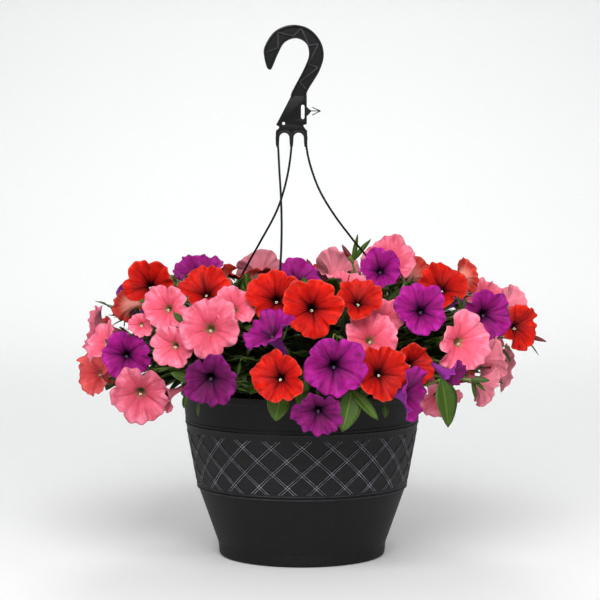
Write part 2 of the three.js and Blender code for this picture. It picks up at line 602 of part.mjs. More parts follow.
// The blooms, front ones first: az is the direction from the pot's axis, up the height of the bloom's face
// above the rim, out its distance from the axis where it isn't on the dome, wide its width, turn and tilt
// the way it faces (turn 0 faces front and 90 right), and roll its turn about itself. Each stands in
// front of those after it. Blooms with one node's name touch and are one piece.
const BLOOMS = [
  { node: 'blooms_pink_01', az: 245, up: 77, wide: 60, turn: -5, tilt: 8, roll: 20 },
  { node: 'blooms_red_01', az: 262, up: 105, wide: 57, turn: 0, tilt: 15, roll: -10 },
  { node: 'bloom_purple_01', az: 278, up: 43, wide: 60, turn: 5, tilt: 0, roll: 12 },
  { node: 'blooms_red_01', az: 278, up: 91, wide: 59, turn: 0, tilt: 5, roll: 30 },
  { node: 'bloom_red_03', az: 264, up: 33, wide: 51, turn: -15, tilt: 10, roll: 0 },
  { node: 'bloom_red_04', az: 290, up: 36, wide: 53, turn: 15, tilt: 10, roll: 25 },
  { node: 'bloom_purple_02', az: 306, up: 93, wide: 52, turn: 0, tilt: 15, roll: 5 },
  { node: 'bloom_purple_03', az: 333, up: 82, wide: 53, turn: 15, tilt: 0, roll: 0 },
  { node: 'bloom_pink_02', az: 316, up: 59, wide: 59, turn: 25, tilt: 0, roll: -15 },
  { node: 'blooms_red_05', az: 203, up: 110, wide: 53, turn: -5, tilt: 10, roll: 18 },
  { node: 'blooms_red_05', az: 205, up: 84, wide: 36, turn: -115, tilt: -10, roll: 0 },
  { node: 'blooms_pink_03', az: 224, up: 6, wide: 59, turn: 0, tilt: -15, roll: 8 },
  { node: 'bloom_purple_04', az: 274, up: -1, wide: 47, turn: 0, tilt: -20, roll: 0 },
  { node: 'bloom_purple_05', az: 247, up: 26, wide: 54, turn: 0, tilt: -20, roll: 36 },
  { node: 'blooms_pink_04', az: 227, up: 93, wide: 47, turn: -15, tilt: 10, roll: 10 },
  { node: 'bloom_purple_06', az: 219, up: 46, wide: 48, turn: 0, tilt: 5, roll: 0 },
  { node: 'blooms_pink_01', az: 234, up: 55, wide: 44, turn: -20, tilt: -5, roll: 40 },
  { node: 'bloom_red_06', az: 235, up: 112, wide: 53, turn: 0, tilt: 40, roll: 0 },
  { node: 'bloom_red_07', az: 288, up: 105, wide: 48, turn: 10, tilt: 40, roll: 10 },
  { node: 'blooms_pink_06', az: 290, up: 79, wide: 54, turn: 10, tilt: 25, roll: 0 },
  { node: 'bloom_red_08', az: 329, up: 112, wide: 52, turn: 0, tilt: 35, roll: 15 },
  { node: 'bloom_red_17', az: 351, up: 117, out: 174, wide: 38, turn: 120, tilt: 10, roll: 0 },
  { node: 'blooms_pink_04', az: 222, up: 75, wide: 25, turn: 0, tilt: 0, roll: 0 },
  { node: 'bloom_coral_01', az: 197, up: 19, wide: 49, turn: -50, tilt: 0, roll: 0 },
  { node: 'bloom_pink_08', az: 203, up: 56, wide: 46, turn: -60, tilt: 30, roll: 0 },
  { node: 'blooms_pink_01', az: 251, up: 104, wide: 43, turn: 0, tilt: 30, roll: 0 },
  { node: 'bloom_purple_07', az: 262, up: 79, wide: 53, turn: -45, tilt: 50, roll: 0 },
  { node: 'bloom_purple_08', az: 298, up: 13, wide: 54, turn: 65, tilt: -5, roll: 0 },
  { node: 'bloom_red_09', az: 301, up: 39, wide: 44, turn: 25, tilt: 0, roll: 0 },
  { node: 'bloom_purple_09', az: 311, up: 25, wide: 39, turn: 60, tilt: -30, roll: 0 },
  { node: 'bloom_red_10', az: 354, up: 63, out: 229, wide: 50, turn: 38, tilt: 0, roll: 0 },
  { node: 'blooms_pink_06', az: 299, up: 105, wide: 46, turn: 0, tilt: 30, roll: 0 },
  { node: 'bloom_purple_10', az: 323, up: 127, out: 100, wide: 44, turn: 0, tilt: 25, roll: 0 },
  { node: 'bloom_purple_11', az: 263, up: 118, out: 50, wide: 50, turn: 0, tilt: 45, roll: 0 },
  { node: 'bloom_purple_12', az: 136, up: 115, wide: 56, turn: 0, tilt: 50, roll: 0 },
  { node: 'bloom_red_11', az: 47, up: 108, wide: 49, turn: 170, tilt: 10, roll: 0 },
  { node: 'bloom_pink_11', az: 12, up: 89, wide: 47, turn: 20, tilt: 20, roll: 0 },
  { node: 'bloom_pink_22', az: 358, up: 86, out: 222, wide: 42, turn: 130, tilt: 10, roll: 0 },
  { node: 'blooms_pink_13', az: 330, up: 40, wide: 44, turn: 112, tilt: 8, roll: 0 },
  { node: 'blooms_pink_13', az: 325, up: 8, wide: 45, turn: 112, tilt: -25, roll: 0 },
  { node: 'bloom_pink_12', az: 314, up: 0, out: 208, wide: 46, turn: 20, tilt: -42, roll: 0 },
  { node: 'blooms_pink_03', az: 229, up: 3, out: 186, wide: 35, turn: -60, tilt: -20, roll: 0 },
  { node: 'bloom_pink_15', az: 75, up: 115, wide: 56, turn: 160, tilt: 35, roll: 0 },
  { node: 'bloom_pink_16', az: 42, up: 130, out: 129, wide: 60, turn: 0, tilt: 45, roll: 0 },
  { node: 'bloom_pink_17', az: 106, up: 112, wide: 54, turn: 180, tilt: 22, roll: 0 },
  { node: 'blooms_pink_18', az: 12, up: 14, wide: 52, turn: 100, tilt: -8, roll: 0 },
  { node: 'blooms_pink_18', az: 24, up: 48, wide: 50, turn: 118, tilt: 8, roll: 20 },
  { node: 'blooms_red_12', az: 36, up: 17, wide: 56, turn: 130, tilt: -5, roll: 12 },
  { node: 'blooms_red_12', az: 48, up: 56, wide: 54, turn: 132, tilt: 12, roll: 0 },
  { node: 'blooms_purple_13', az: 60, up: 12, wide: 50, turn: 146, tilt: -12, roll: 0 },
  { node: 'blooms_purple_13', az: 71, up: 48, wide: 54, turn: 165, tilt: 5, roll: 30 },
  { node: 'blooms_red_13', az: 84, up: 20, wide: 52, turn: 172, tilt: 0, roll: 0 },
  { node: 'blooms_red_13', az: 95, up: 57, wide: 54, turn: 182, tilt: 10, roll: 15 },
  { node: 'blooms_pink_19', az: 108, up: 12, wide: 56, turn: 194, tilt: -10, roll: 0 },
  { node: 'blooms_pink_19', az: 119, up: 48, wide: 52, turn: 214, tilt: 6, roll: 22 },
  { node: 'blooms_purple_14', az: 132, up: 18, wide: 54, turn: 226, tilt: -4, roll: 0 },
  { node: 'blooms_purple_14', az: 143, up: 56, wide: 50, turn: 232, tilt: 12, roll: 10 },
  { node: 'blooms_red_14', az: 156, up: 12, wide: 54, turn: 242, tilt: -10, roll: 0 },
  { node: 'blooms_red_14', az: 167, up: 46, wide: 56, turn: 262, tilt: 4, roll: 18 },
  { node: 'blooms_pink_20', az: 181, up: 22, wide: 50, turn: 276, tilt: 0, roll: 0 },
  { node: 'blooms_pink_20', az: 184, up: 64, wide: 48, turn: 284, tilt: 14, roll: 25 },
  { node: 'blooms_purple_15', az: 30, up: 86, wide: 50, turn: 124, tilt: 22, roll: 0 },
  { node: 'blooms_purple_15', az: 62, up: 88, wide: 52, turn: 146, tilt: 24, roll: 14 },
  { node: 'blooms_red_15', az: 84, up: 96, wide: 50, turn: 170, tilt: 28, roll: 0 },
  { node: 'blooms_red_15', az: 100, up: 90, wide: 54, turn: 196, tilt: 20, roll: 20 },
  { node: 'blooms_coral_02', az: 120, up: 90, wide: 52, turn: 206, tilt: 24, roll: 0 },
  { node: 'blooms_coral_02', az: 134, up: 92, wide: 50, turn: 232, tilt: 28, roll: 8 },
  { node: 'blooms_purple_16', az: 154, up: 88, wide: 52, turn: 240, tilt: 22, roll: 0 },
  { node: 'blooms_purple_16', az: 169, up: 94, wide: 48, turn: 262, tilt: 30, roll: 16 },
  { node: 'blooms_red_16', az: 168, up: 114, out: 112, wide: 50, turn: 250, tilt: 60, roll: 0 },
  { node: 'blooms_red_16', az: 150, up: 116, out: 70, wide: 48, turn: 200, tilt: 75, roll: 0 },
  { node: 'blooms_pink_21', az: 335, up: 115, out: 50, wide: 50, turn: 40, tilt: 78, roll: 0 },
  { node: 'blooms_pink_21', az: 60, up: 115, out: 52, wide: 48, turn: 120, tilt: 78, roll: 0 },
];

/** Each bloom keeps its place if it clears every piece placed before it, and otherwise moves the least way
 *  that clears them: back along its own axis, towards the pot's axis, or away from the front, and half as
 *  readily up, down or sideways. One that shares its node is first brought up to its mate, until it only
 *  just touches it. */
function settleBlooms(fixed) {
  const placed = [...fixed];
  const nodes = new Map();
  BLOOMS.forEach((bloom, k) => {
    bloom.phase = (k * 0.618) % 1;
    bloom.place = polar(bloom.out ?? domeRadius(bloom.up), rad(bloom.az), POT_HEIGHT + bloom.up);
    if (!nodes.has(bloom.node)) nodes.set(bloom.node, []);
    nodes.get(bloom.node).push(bloom);
  });
  const solids = new Map();
  for (const [name, mates] of nodes) {
    let group = solidOf(bloomSolid(mates[0]));
    for (const mate of mates.slice(1)) {
      touch(mate, mates[0], group);
      group = group.add(solidOf(bloomSolid(mate)));
    }
    const move = leastMove(group, mates[0], placed);
    for (const mate of mates) mate.place.add(move);
    const settled = group.translate(move.toArray());
    placed.push(settled);
    solids.set(name, settled);
  }
  return solids;
}

/** Moves a bloom by small steps towards its mate, or back from it, to where they only just touch. */
function touch(mate, first, group) {
  const loose = solidOf(bloomSolid(mate));
  const meets = (way) => loose.translate(way.toArray()).minGap(group, 1) === 0;
  const toward = first.place.clone().sub(mate.place).normalize();
  const way = at(0, 0, 0);
  while (!meets(way)) way.addScaledVector(toward, TOUCH_STEP);
  if (way.length() === 0) {
    const back = bloomAxes(mate).forward.negate();
    while (meets(way)) way.addScaledVector(back, TOUCH_STEP);
    way.addScaledVector(back, -TOUCH_STEP);
  }
  mate.place.add(way);
}

function leastMove(group, bloom, placed) {
  const inward = at(-bloom.place.x, -bloom.place.y, 0).normalize();
  const ways = [[bloomAxes(bloom).forward.negate(), 1], [inward, 1], [at(0, 1, 0), 1],
    [at(0, 0, 1), 0.5], [at(0, 0, -1), 0.5], [at(1, 0, 0), 0.5], [at(-1, 0, 0), 0.5]];
  for (let reach = 0; reach <= FURTHEST_MOVE; reach += 1) {
    for (const [way, ease] of ways) {
      const move = way.clone().multiplyScalar(reach * ease);
      if (clearOf(group.translate(move.toArray()), placed, BLOOM_GAP)) return move;
    }
  }
  throw new Error(`${bloom.node} has no clear place`);
}

// Shoots

const sectorEdges = (shoot) => [shoot, shoot + 1].map((k) => rad(FIRST_SECTOR + (360 / SHOOTS) * k));

/** The crown's radius at a height above the rim. */
const coreRadius = (up) => CORE_RADIUS * Math.sqrt(Math.max(0, 1 - ((up - DOME_MIDDLE) / CORE_HALF) ** 2));

/** One shoot's share of the crown: a wedge under the dome, a little clear of its neighbours and the arms. */
function coreSolid(shoot) {
  const [from, to] = sectorEdges(shoot);
  const tip = polar(CORE_GAP / Math.sin((to - from) / 2), (from + to) / 2, 0);
  const rings = [CORE_LOW, 32, 56, CORE_TOP].map((up) => {
    const radius = coreRadius(up);
    const edge = Math.asin(CORE_GAP / radius);
    const arc = [0, 0.25, 0.5, 0.75, 1].map((share) => mix(from + edge, to - edge, share));
    const level = POT_HEIGHT + up;
    const points = [at(tip.x, tip.y, level), ...arc.map((a) => polar(radius, a, level))];
    return { angles: points.map((_, k) => k), size: 1, points };
  });
  return solidOf(skin(rings));
}

/** The rooted stem, from its hole in the soil into the crown. */
function stemSolid(shoot) {
  const place = polar(STEM_CIRCLE, stemPlace(shoot), 0);
  const top = POT_HEIGHT + CORE_LOW + 4;
  const stem = skin([ringOf(STEM_RADIUS, STEM_ROOT, 6), ringOf(STEM_RADIUS, top, 6)]);
  return solidOf(stem.translate(place.x, place.y, 0));
}

/** Where a bloom's tube ends, just ahead of its calyx. */
function tubeEnd(bloom, gap) {
  const back = TUBE_LENGTH * (bloom.wide / 2) + gap;
  return bloom.place.clone().addScaledVector(bloomAxes(bloom).forward, -back);
}

/** Which shoot carries a point, by its direction from the pot's axis. */
function shootOf(point) {
  const turns = (Math.atan2(point.y, point.x) - rad(FIRST_SECTOR)) / (TAU / SHOOTS);
  return ((Math.floor(turns) % SHOOTS) + SHOOTS) % SHOOTS;
}

/** Where in a shoot's crown the stalk to a point is rooted, and the way straight out from there. */
function crownRoot(point, shoot) {
  const [from, to] = sectorEdges(shoot);
  const middle = (from + to) / 2;
  const turn = Math.atan2(point.y, point.x) - middle;
  const off = Math.atan2(Math.sin(turn), Math.cos(turn));
  const direction = middle + THREE.MathUtils.clamp(off, -ROOT_SWING, ROOT_SWING);
  const level = THREE.MathUtils.clamp(0.5 * (point.z - POT_HEIGHT) + 15, ...ROOT_LEVELS);
  const root = polar(ROOT_DEPTH * coreRadius(level), direction, POT_HEIGHT + level);
  return { root, outward: polar(1, direction, 0) };
}

/** The flower stalk: a slim curved tube from inside the crown that widens into the calyx behind the bloom.
 *  bulge bends it aside to pass what stands in its way. */
function stalkSolid(bloom, shoot, bulge) {
  const { forward } = bloomAxes(bloom);
  const seat = tubeEnd(bloom, CLEARANCE);
  const neck = seat.clone().addScaledVector(forward, -CALYX_LENGTH);
  const { root, outward } = crownRoot(neck, shoot);
  const reach = root.distanceTo(neck);
  const first = root.clone().addScaledVector(outward, STALK_LEAVES * reach).add(bulge);
  const second = neck.clone().addScaledVector(forward, -STALK_ARRIVES * reach).add(bulge);
  const middle = new THREE.CubicBezierCurve3(root, first, second, neck).getPointAt(0.5);
  return solidOf(tube([
    ...[root, middle, neck].map((point) => ({ point, radius: STALK_RADIUS, sides: STALK_SIDES })),
    { point: seat, radius: CALYX_RADIUS, sides: PETALS },
  ]));
}

/** A leaf: a thin blade on a short stalk, folded a little along its midrib and arched over its length.
 *  It runs from root along the unit vector along; face is the side that looks up. */
function leafSolid({ root, along, face, length, wide, droop, stations = LEAF_STATIONS }) {
  const side = new THREE.Vector3().crossVectors(face, along).normalize();
  const top = new THREE.Vector3().crossVectors(along, side).normalize();
  const ribAt = (share) => root.clone().addScaledVector(along, share * length)
    .addScaledVector(top, -droop * length * share * share);
  const rings = stations.map(([share, spread]) => {
    const half = Math.max(LEAF_STALK, (spread * wide) / 2);
    const fold = LEAF_FOLD * half;
    const [rib, thick] = [ribAt(share), LEAF_THICK];
    const points = [
      rib.clone().addScaledVector(side, half).addScaledVector(top, fold),
      rib.clone().addScaledVector(top, thick),
      rib.clone().addScaledVector(side, -half).addScaledVector(top, fold),
      rib.clone().addScaledVector(top, -thick),
    ];
    return { angles: [0, 1, 2, 3], size: 1, points };
  });
  return solidOf(skin(rings, ribAt(1)));
}

/** The places on a sector that a leaf may grow from, spread by the golden section, in a fixed order. */
function leafChoices(shoot) {
  const [from, to] = sectorEdges(shoot);
  return Array.from({ length: LEAF_TRIES }, (_, k) => {
    const [turn, rise, sway] = GOLDEN_STEPS.map((step) => ((k + 1 + 7 * shoot) * step) % 1);
    const direction = mix(from + LEAF_MARGIN, to - LEAF_MARGIN, turn);
    const up = mix(CORE_LOW + 3, CORE_TOP - 6, rise);
    const root = polar(coreRadius(up) - LEAF_SINK, direction, POT_HEIGHT + up);
    const lean = mix(-LEAF_SWAY, LEAF_SWAY, sway);
    const along = polar(1, direction + lean, mix(...LEAF_CLIMBS, rise)).normalize();
    const reach = domeRadius(up) * LEAF_REACH - coreRadius(up);
    const length = THREE.MathUtils.clamp(reach, ...LEAF_LENGTHS);
    const [wide, droop] = [mix(...LEAF_WIDTHS, sway), mix(...LEAF_DROOPS, turn)];
    return { root, along, face: UP, length, wide, droop };
  });
}

// Twigs that show between the blooms and past them. Each grows from the crown to its own point, and ends in
// narrow leaves, [tip, width], and in buds, [tip]. Places are [x, y, height above the rim].
const TWIGS = [
  { at: [48, -195, 17], leaves: [[[39, -204, -22], 24], [[74, -203, -10], 12]] },
  { at: [-20, -192, 16], leaves: [[[-26, -200, -12], 22]] },
  { at: [3, -190, 28], leaves: [[[-4, -197, 2], 14]] },
  { at: [134, -195, 28], leaves: [[[142, -207, -17], 26]] },
  { at: [202, -60, 46], leaves: [[[215, -62, 30], 12]] },
  { at: [230, 14, 54], leaves: [[[252, 10, 32], 7], [[249, 16, 63], 6]], buds: [[258, 13, 45]] },
  { at: [166, -156, 23], leaves: [[[184, -158, 23], 7], [[180, -160, 13], 6], [[171, -159, 3], 7]] },
  { at: [158, -120, 85], leaves: [[[155, -122, 105], 7], [[163, -124, 100], 6]] },
  { at: [54, 60, 127], leaves: [[[61, 60, 157], 6], [[74, 62, 152], 6]], buds: [[43, 60, 145]] },
  { at: [13, -20, 118], leaves: [], buds: [[5, -20, 134]] },
  { at: [-115, -178, 82], leaves: [[[-125, -180, 91], 7]] },
  { at: [-39, -168, 68], leaves: [[[-57, -172, 78], 9]] },
  { at: [-109, -165, 24], leaves: [[[-128, -172, 32], 10]] },
  { at: [-173, -128, 15], leaves: [[[-190, -130, 22], 7]] },
];

/** A point given as [x, y, height above the rim]. */
const above = ([x, y, up]) => at(x, y, POT_HEIGHT + up);

/** A stalk from inside the crown to a twig's point, bent aside by bulge. */
function twigStalk(point, shoot, bulge) {
  const { root, outward } = crownRoot(point, shoot);
  const arch = TWIG_ARCH * root.distanceTo(point);
  const middle = root.clone().lerp(point, 0.5).addScaledVector(outward, arch).add(bulge);
  const ring = { radius: STALK_RADIUS, sides: STALK_SIDES };
  return solidOf(tube([root, middle, point].map((place) => ({ point: place, ...ring }))));
}

/** A closed bud: a slim spindle on the twig's point. */
function budSolid(root, tip) {
  return solidOf(tube([
    { point: root, radius: STALK_RADIUS, sides: PETALS },
    { point: root.clone().lerp(tip, 0.5), radius: BUD_RADIUS, sides: PETALS },
    { point: tip, radius: BUD_END, sides: PETALS },
  ]));
}

/** The twig's leaves and buds, each turned about itself until it is clear of what is placed. */
function twigEnds(twig, placed) {
  const point = above(twig.at);
  const rootOf = (tip) => point.clone().addScaledVector(above(tip).sub(point).normalize(), -TWIG_SINK);
  const ends = (twig.buds ?? []).map((tip) => [budSolid(rootOf(tip), above(tip))]);
  for (const [tip, wide] of twig.leaves) {
    const root = rootOf(tip);
    const along = above(tip).sub(root);
    const length = along.length();
    along.normalize();
    const outward = at(point.x, point.y, 0.4 * DOME_RADIUS).normalize();
    ends.push(BRACT_TURNS.map((turn) => leafSolid({
      root, along, length, wide, droop: BRACT_DROOP, stations: BRACT_STATIONS,
      face: outward.clone().applyAxisAngle(along, rad(turn)),
    })));
  }
  return ends.map((choices) => firstClear(choices, placed, CLEARANCE, `the end of the twig at ${twig.at}`));
}

/** The ways that a stalk may bend aside: straight first, then wider and wider, in 26 directions. */
function stalkBulges() {
  const steps = [-1, 0, 1];
  const ways = steps.flatMap((x) => steps.flatMap((y) => steps.map((z) => at(x, y, z))))
    .filter((way) => way.length() > 0);
  const bent = STALK_BULGES.flatMap((size) => ways.map((way) => way.clone().setLength(size)));
  return [at(0, 0, 0), ...bent];
}

/** The first of a list of solids that is clear of what is placed. */
function firstClear(solids, placed, gap, name) {
  const clear = solids.find((solid) => clearOf(solid, placed, gap));
  if (!clear) throw new Error(`${name} has no clear way`);
  return clear;
}

/** Each shoot is its wedge of the crown and its stem, with the stalks, twigs and leaves that grow from it. */
function makeShoots(placed) {
  const bulges = stalkBulges();
  return Array.from({ length: SHOOTS }, (_, k) => {
    let shoot = coreSolid(k).add(stemSolid(k));
    for (const bloom of BLOOMS.filter((b) => shootOf(tubeEnd(b, CALYX_LENGTH)) === k)) {
      const stalks = bulges.map((bulge) => stalkSolid(bloom, k, bulge));
      shoot = shoot.add(firstClear(stalks, placed, STALK_GAP, `the stalk of ${bloom.node}`));
    }
    for (const twig of TWIGS.filter((t) => shootOf(above(t.at)) === k)) {
      const stalks = bulges.map((bulge) => twigStalk(above(twig.at), k, bulge));
      shoot = shoot.add(firstClear(stalks, placed, STALK_GAP, `the twig at ${twig.at}`));
      for (const end of twigEnds(twig, placed)) shoot = shoot.add(end);
    }
    let leaves = 0;
    for (const choice of leafChoices(k)) {
      const leaf = leafSolid(choice);
      const high = leaf.boundingBox().min[2] > LEAF_LOWEST;
      if (leaves < LEAVES_EACH && high && clearOf(leaf, placed, LEAF_GAP)) {
        shoot = shoot.add(leaf);
        leaves += 1;
      }
    }
    shoot = shoot.simplify(SIMPLIFY);
    placed.push(shoot);
    return shoot;
  });
}

// The object

const model = new THREE.Group();

function addPiece(name, solid, material) {
  const mesh = new THREE.Mesh(geometryOf(solid), material);
  mesh.name = name;
  model.add(mesh);
}

const vessel = [makePot(), makeSoil(), makeHanger()];
['pot', 'soil', 'hanger'].forEach((name, k) => addPiece(name, vessel[k], MATERIALS[name]));
const crown = Array.from({ length: SHOOTS }, (_, k) => coreSolid(k));
const blooms = settleBlooms([...vessel, ...crown]);
for (const [name, solid] of blooms) addPiece(name, solid, MATERIALS[name.split('_')[1]]);
const shoots = makeShoots([...vessel, ...blooms.values()]);
shoots.forEach((solid, k) => addPiece(`shoot_${k + 1}`, solid, MATERIALS.leaf));

export default model;
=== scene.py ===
"""The finished look of a petunia hanging basket: blooms, shoots, soil, pot and hanger are rebuilt as fine
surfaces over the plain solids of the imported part.

Shape functions work in millimetres, as the part's source does, and meshes are written in metres. The pot's
axis is Z, its underside is at height 0, and -Y is the front."""

import math
from collections import namedtuple

import bmesh
import bpy
import numpy as np
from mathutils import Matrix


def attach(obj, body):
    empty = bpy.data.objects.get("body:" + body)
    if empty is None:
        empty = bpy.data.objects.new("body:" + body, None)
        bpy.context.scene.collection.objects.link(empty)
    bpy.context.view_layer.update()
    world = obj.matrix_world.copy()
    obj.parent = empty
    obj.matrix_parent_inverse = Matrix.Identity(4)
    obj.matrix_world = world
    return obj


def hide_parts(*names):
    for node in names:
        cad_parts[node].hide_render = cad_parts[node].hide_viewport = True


bl_info = {
    "name": "Petunia Hanging Basket",
    "version": (1, 0, 0),
    "blender": (4, 5, 0),
    "location": "View3D > Sidebar > Basket",
    "description": "Builds the blooms, shoots, soil, pot and hanger of a petunia hanging basket",
    "category": "Add Mesh",
}

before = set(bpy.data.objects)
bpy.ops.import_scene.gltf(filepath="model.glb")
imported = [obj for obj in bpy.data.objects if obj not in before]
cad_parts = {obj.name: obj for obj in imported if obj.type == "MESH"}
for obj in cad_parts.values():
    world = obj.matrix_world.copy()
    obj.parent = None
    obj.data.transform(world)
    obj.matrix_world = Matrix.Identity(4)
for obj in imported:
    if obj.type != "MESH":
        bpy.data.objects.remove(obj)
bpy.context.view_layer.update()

MM = 0.001
TURN = 2 * math.pi
BODY = "root"
MERGE_DISTANCE = 0.002  # points closer than this are one
SPAN_POINTS = 24  # of a curve, between two of the points that it runs through
TINY = 1e-6  # keeps a division from having 0 below it

# The pot, as in the part's source
POT_HEIGHT = 177
RIM_RADIUS = 127.5
LIP_HEIGHT = 8.5
WALL = 2.4
FLOOR = 3
FOOT_HEIGHT = 12
FOOT_RADIUS = 88.1
BASE_RADIUS = 85
BAND_LOW = 75.8
BAND_HIGH = 140
BAND_LOW_RADIUS = 110.2
BAND_HIGH_RADIUS = 122
COLUMNS = 24  # of crossings round the band
FIRST_CROSSING = 85.3  # the height of the lowest row of crossings
CROSSING_STEP = (BAND_HIGH - FIRST_CROSSING) / 4
EAR_RADIUS = 117  # from the pot's axis to the ears' holes
EAR_TOP = POT_HEIGHT - 8
EAR_THICK = 3
EAR_HOLE = 2
EAR_HALF_WIDTH = 7
EAR_REACH = 6.2  # from the hole out into the wall
DRAIN_RADIUS = 5
DRAIN_CIRCLE = 58
DRAINS = 5
SOIL_TOP = 150
CLEARANCE = 0.3

# The band's ridges, which run in pairs, and the studs round each crossing
RIDGE_ASIDE = 0.054  # from a pair's middle to each ridge, in columns
RIDGE_HALF_WIDTH = 0.8
RIDGE_SINK = 0.1
# painted highlight along each ridge's top and painted shade at its sides
RIDGE_PAINTED_LIGHT = np.array([-0.028, -0.028, 0.3, 1, 0.3, -0.028, -0.028])  # bright on top, dark at its sides
STUD_RADIUS = 0.6
STUD_ASIDE = 1.9  # from the crossing to the stud's middle

# The shoots and the dome that the blooms' faces lie on, as in the part's source
SHOOTS = 6
FIRST_SECTOR = math.radians(21)
STEM_CIRCLE = 58
STEM_RADIUS = 3.5
STEM_ROOT = 118
DOME_RADIUS = 225
DOME_MIDDLE = 30  # the height above the rim where dome and crown are widest
DOME_RISE = 105
DOME_DROP = 90
DOME_POWER = 2.5
CORE_RADIUS = 132  # the crown's
CORE_LOW = 9
CORE_TOP = 74
CORE_HALF = 50  # half its height
STALK_RADIUS = 1.2
CALYX_LENGTH = 6
ROOT_SWING = 0.3  # how far a stalk's root may be from the middle of its sector, in radians
ROOT_DEPTH = 0.78  # where it is, as a share of the crown's radius
LEAF_TRIES = 160
LEAF_SINK = 9  # how deep a leaf's root is in the crown, and below, a twig leaf's in its twig
TWIG_SINK = 2

# The finer leaves of this scene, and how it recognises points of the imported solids
GOLDEN = np.array([0.618034, 0.754878, 0.569840, 0.819173])  # steps that spread a sequence evenly
ARM_CLEARANCE = 5  # between a leaf and an arm
BLOOM_CLEARANCE = 6  # between a leaf and a petal
VIEW_DEPTH = 70  # the room in front of a bloom that leaves keep out of
STALK_ROWS = 12
LEAF_STALK_HALF_WIDTH = 0.9
HEART_OUT = 66  # from the pot's axis to the middle of a crown's dark heart
HEART_LEVEL = 38  # of its middle above the rim
HEART_HALVES = (50, 33, 26)  # its half lengths outward, aside and up
MATCH = 0.1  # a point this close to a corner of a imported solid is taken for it
VOTE_CELL = 0.05  # shifts closer than this count as one when a bloom is looked up in its solid
FEWEST_VOTES = 5

# A bloom, with its front from the throat to the rim and its back from the rim to the tube: each point's share
# of the way out and its depth, both as shares of the bloom's radius
PETAL_COUNT = 5
PETAL_THICK = 0.55
TUBE_LENGTH = 1.5  # as a share of the bloom's radius
TUBE_END = 2.5  # the tube's radius at its end
PHASE_STEP = 0.618  # by which each bloom's phase differs from the last one's
FRONT_PROFILE = [(0, 0.84), (0.045, 0.8), (0.09, 0.66), (0.14, 0.5), (0.21, 0.38), (0.34, 0.28), (0.52, 0.18),
                 (0.76, 0.07), (1, 0)]
BACK_PROFILE = [(1, 0), (0.76, 0.07), (0.52, 0.185), (0.36, 0.34), (0.25, 0.55), (0.19, 0.8), (0.15, 1.1)]

# The petals' colours as levels of 0 to 255: the pale patches, partly painted highlight, the deep part, partly
# painted shade, the throat, the veins, the back and the back's veins, which are also painted thinly at the
# rim as light shining through; and the strength of the veins
PETALS = {
    "red": ((250, 42, 13), (84, 3, 5), (26, 2, 6), (84, 3, 6), (200, 60, 50), (240, 168, 152), 0.7),
    "purple": ((204, 40, 174), (52, 3, 50), (20, 2, 24), (52, 3, 54), (168, 60, 172), (118, 34, 126), 0.75),
    "pink": ((255, 156, 182), (212, 76, 98), (160, 146, 100), (196, 56, 84), (240, 138, 156), (214, 100, 120),
             0.4),
    "coral": ((244, 116, 114), (208, 62, 64), (176, 120, 110), (190, 44, 50), (222, 110, 114), (196, 70, 76),
              0.45),
}

# The finishes of a bloom and of a shoot, by their numbers
PETAL, GRAIN = 0, 1
LEAF, STEM, HEART, BUD = 0, 1, 2, 3

# The stage: the camera in millimetres and degrees, and the sweep as depth and height
CAMERA_PLACE = (-2.1, -2300, 435.4)
CAMERA_DIP = 4.19
SENSOR_WIDTH = 36
LENS = 132
SWEEP_HALF_WIDTH = 16000
SWEEP_DROP = 0.4  # below the pot's underside
KEY_LIGHT = ((0, -1.95, 1.6), (0, 0, 0.1), 1.4)  # its place, its target and its size, in metres
BACK_LIGHT = ((0, 3.2, 3.5), (0, 3.3, 0), 1.6)
SWEEP = [(-16000, 0), (-2000, 0), (0, 0), (1500, 0), (2600, 0), (3300, 120), (3800, 500), (4000, 1100),
         (4000, 5000)]

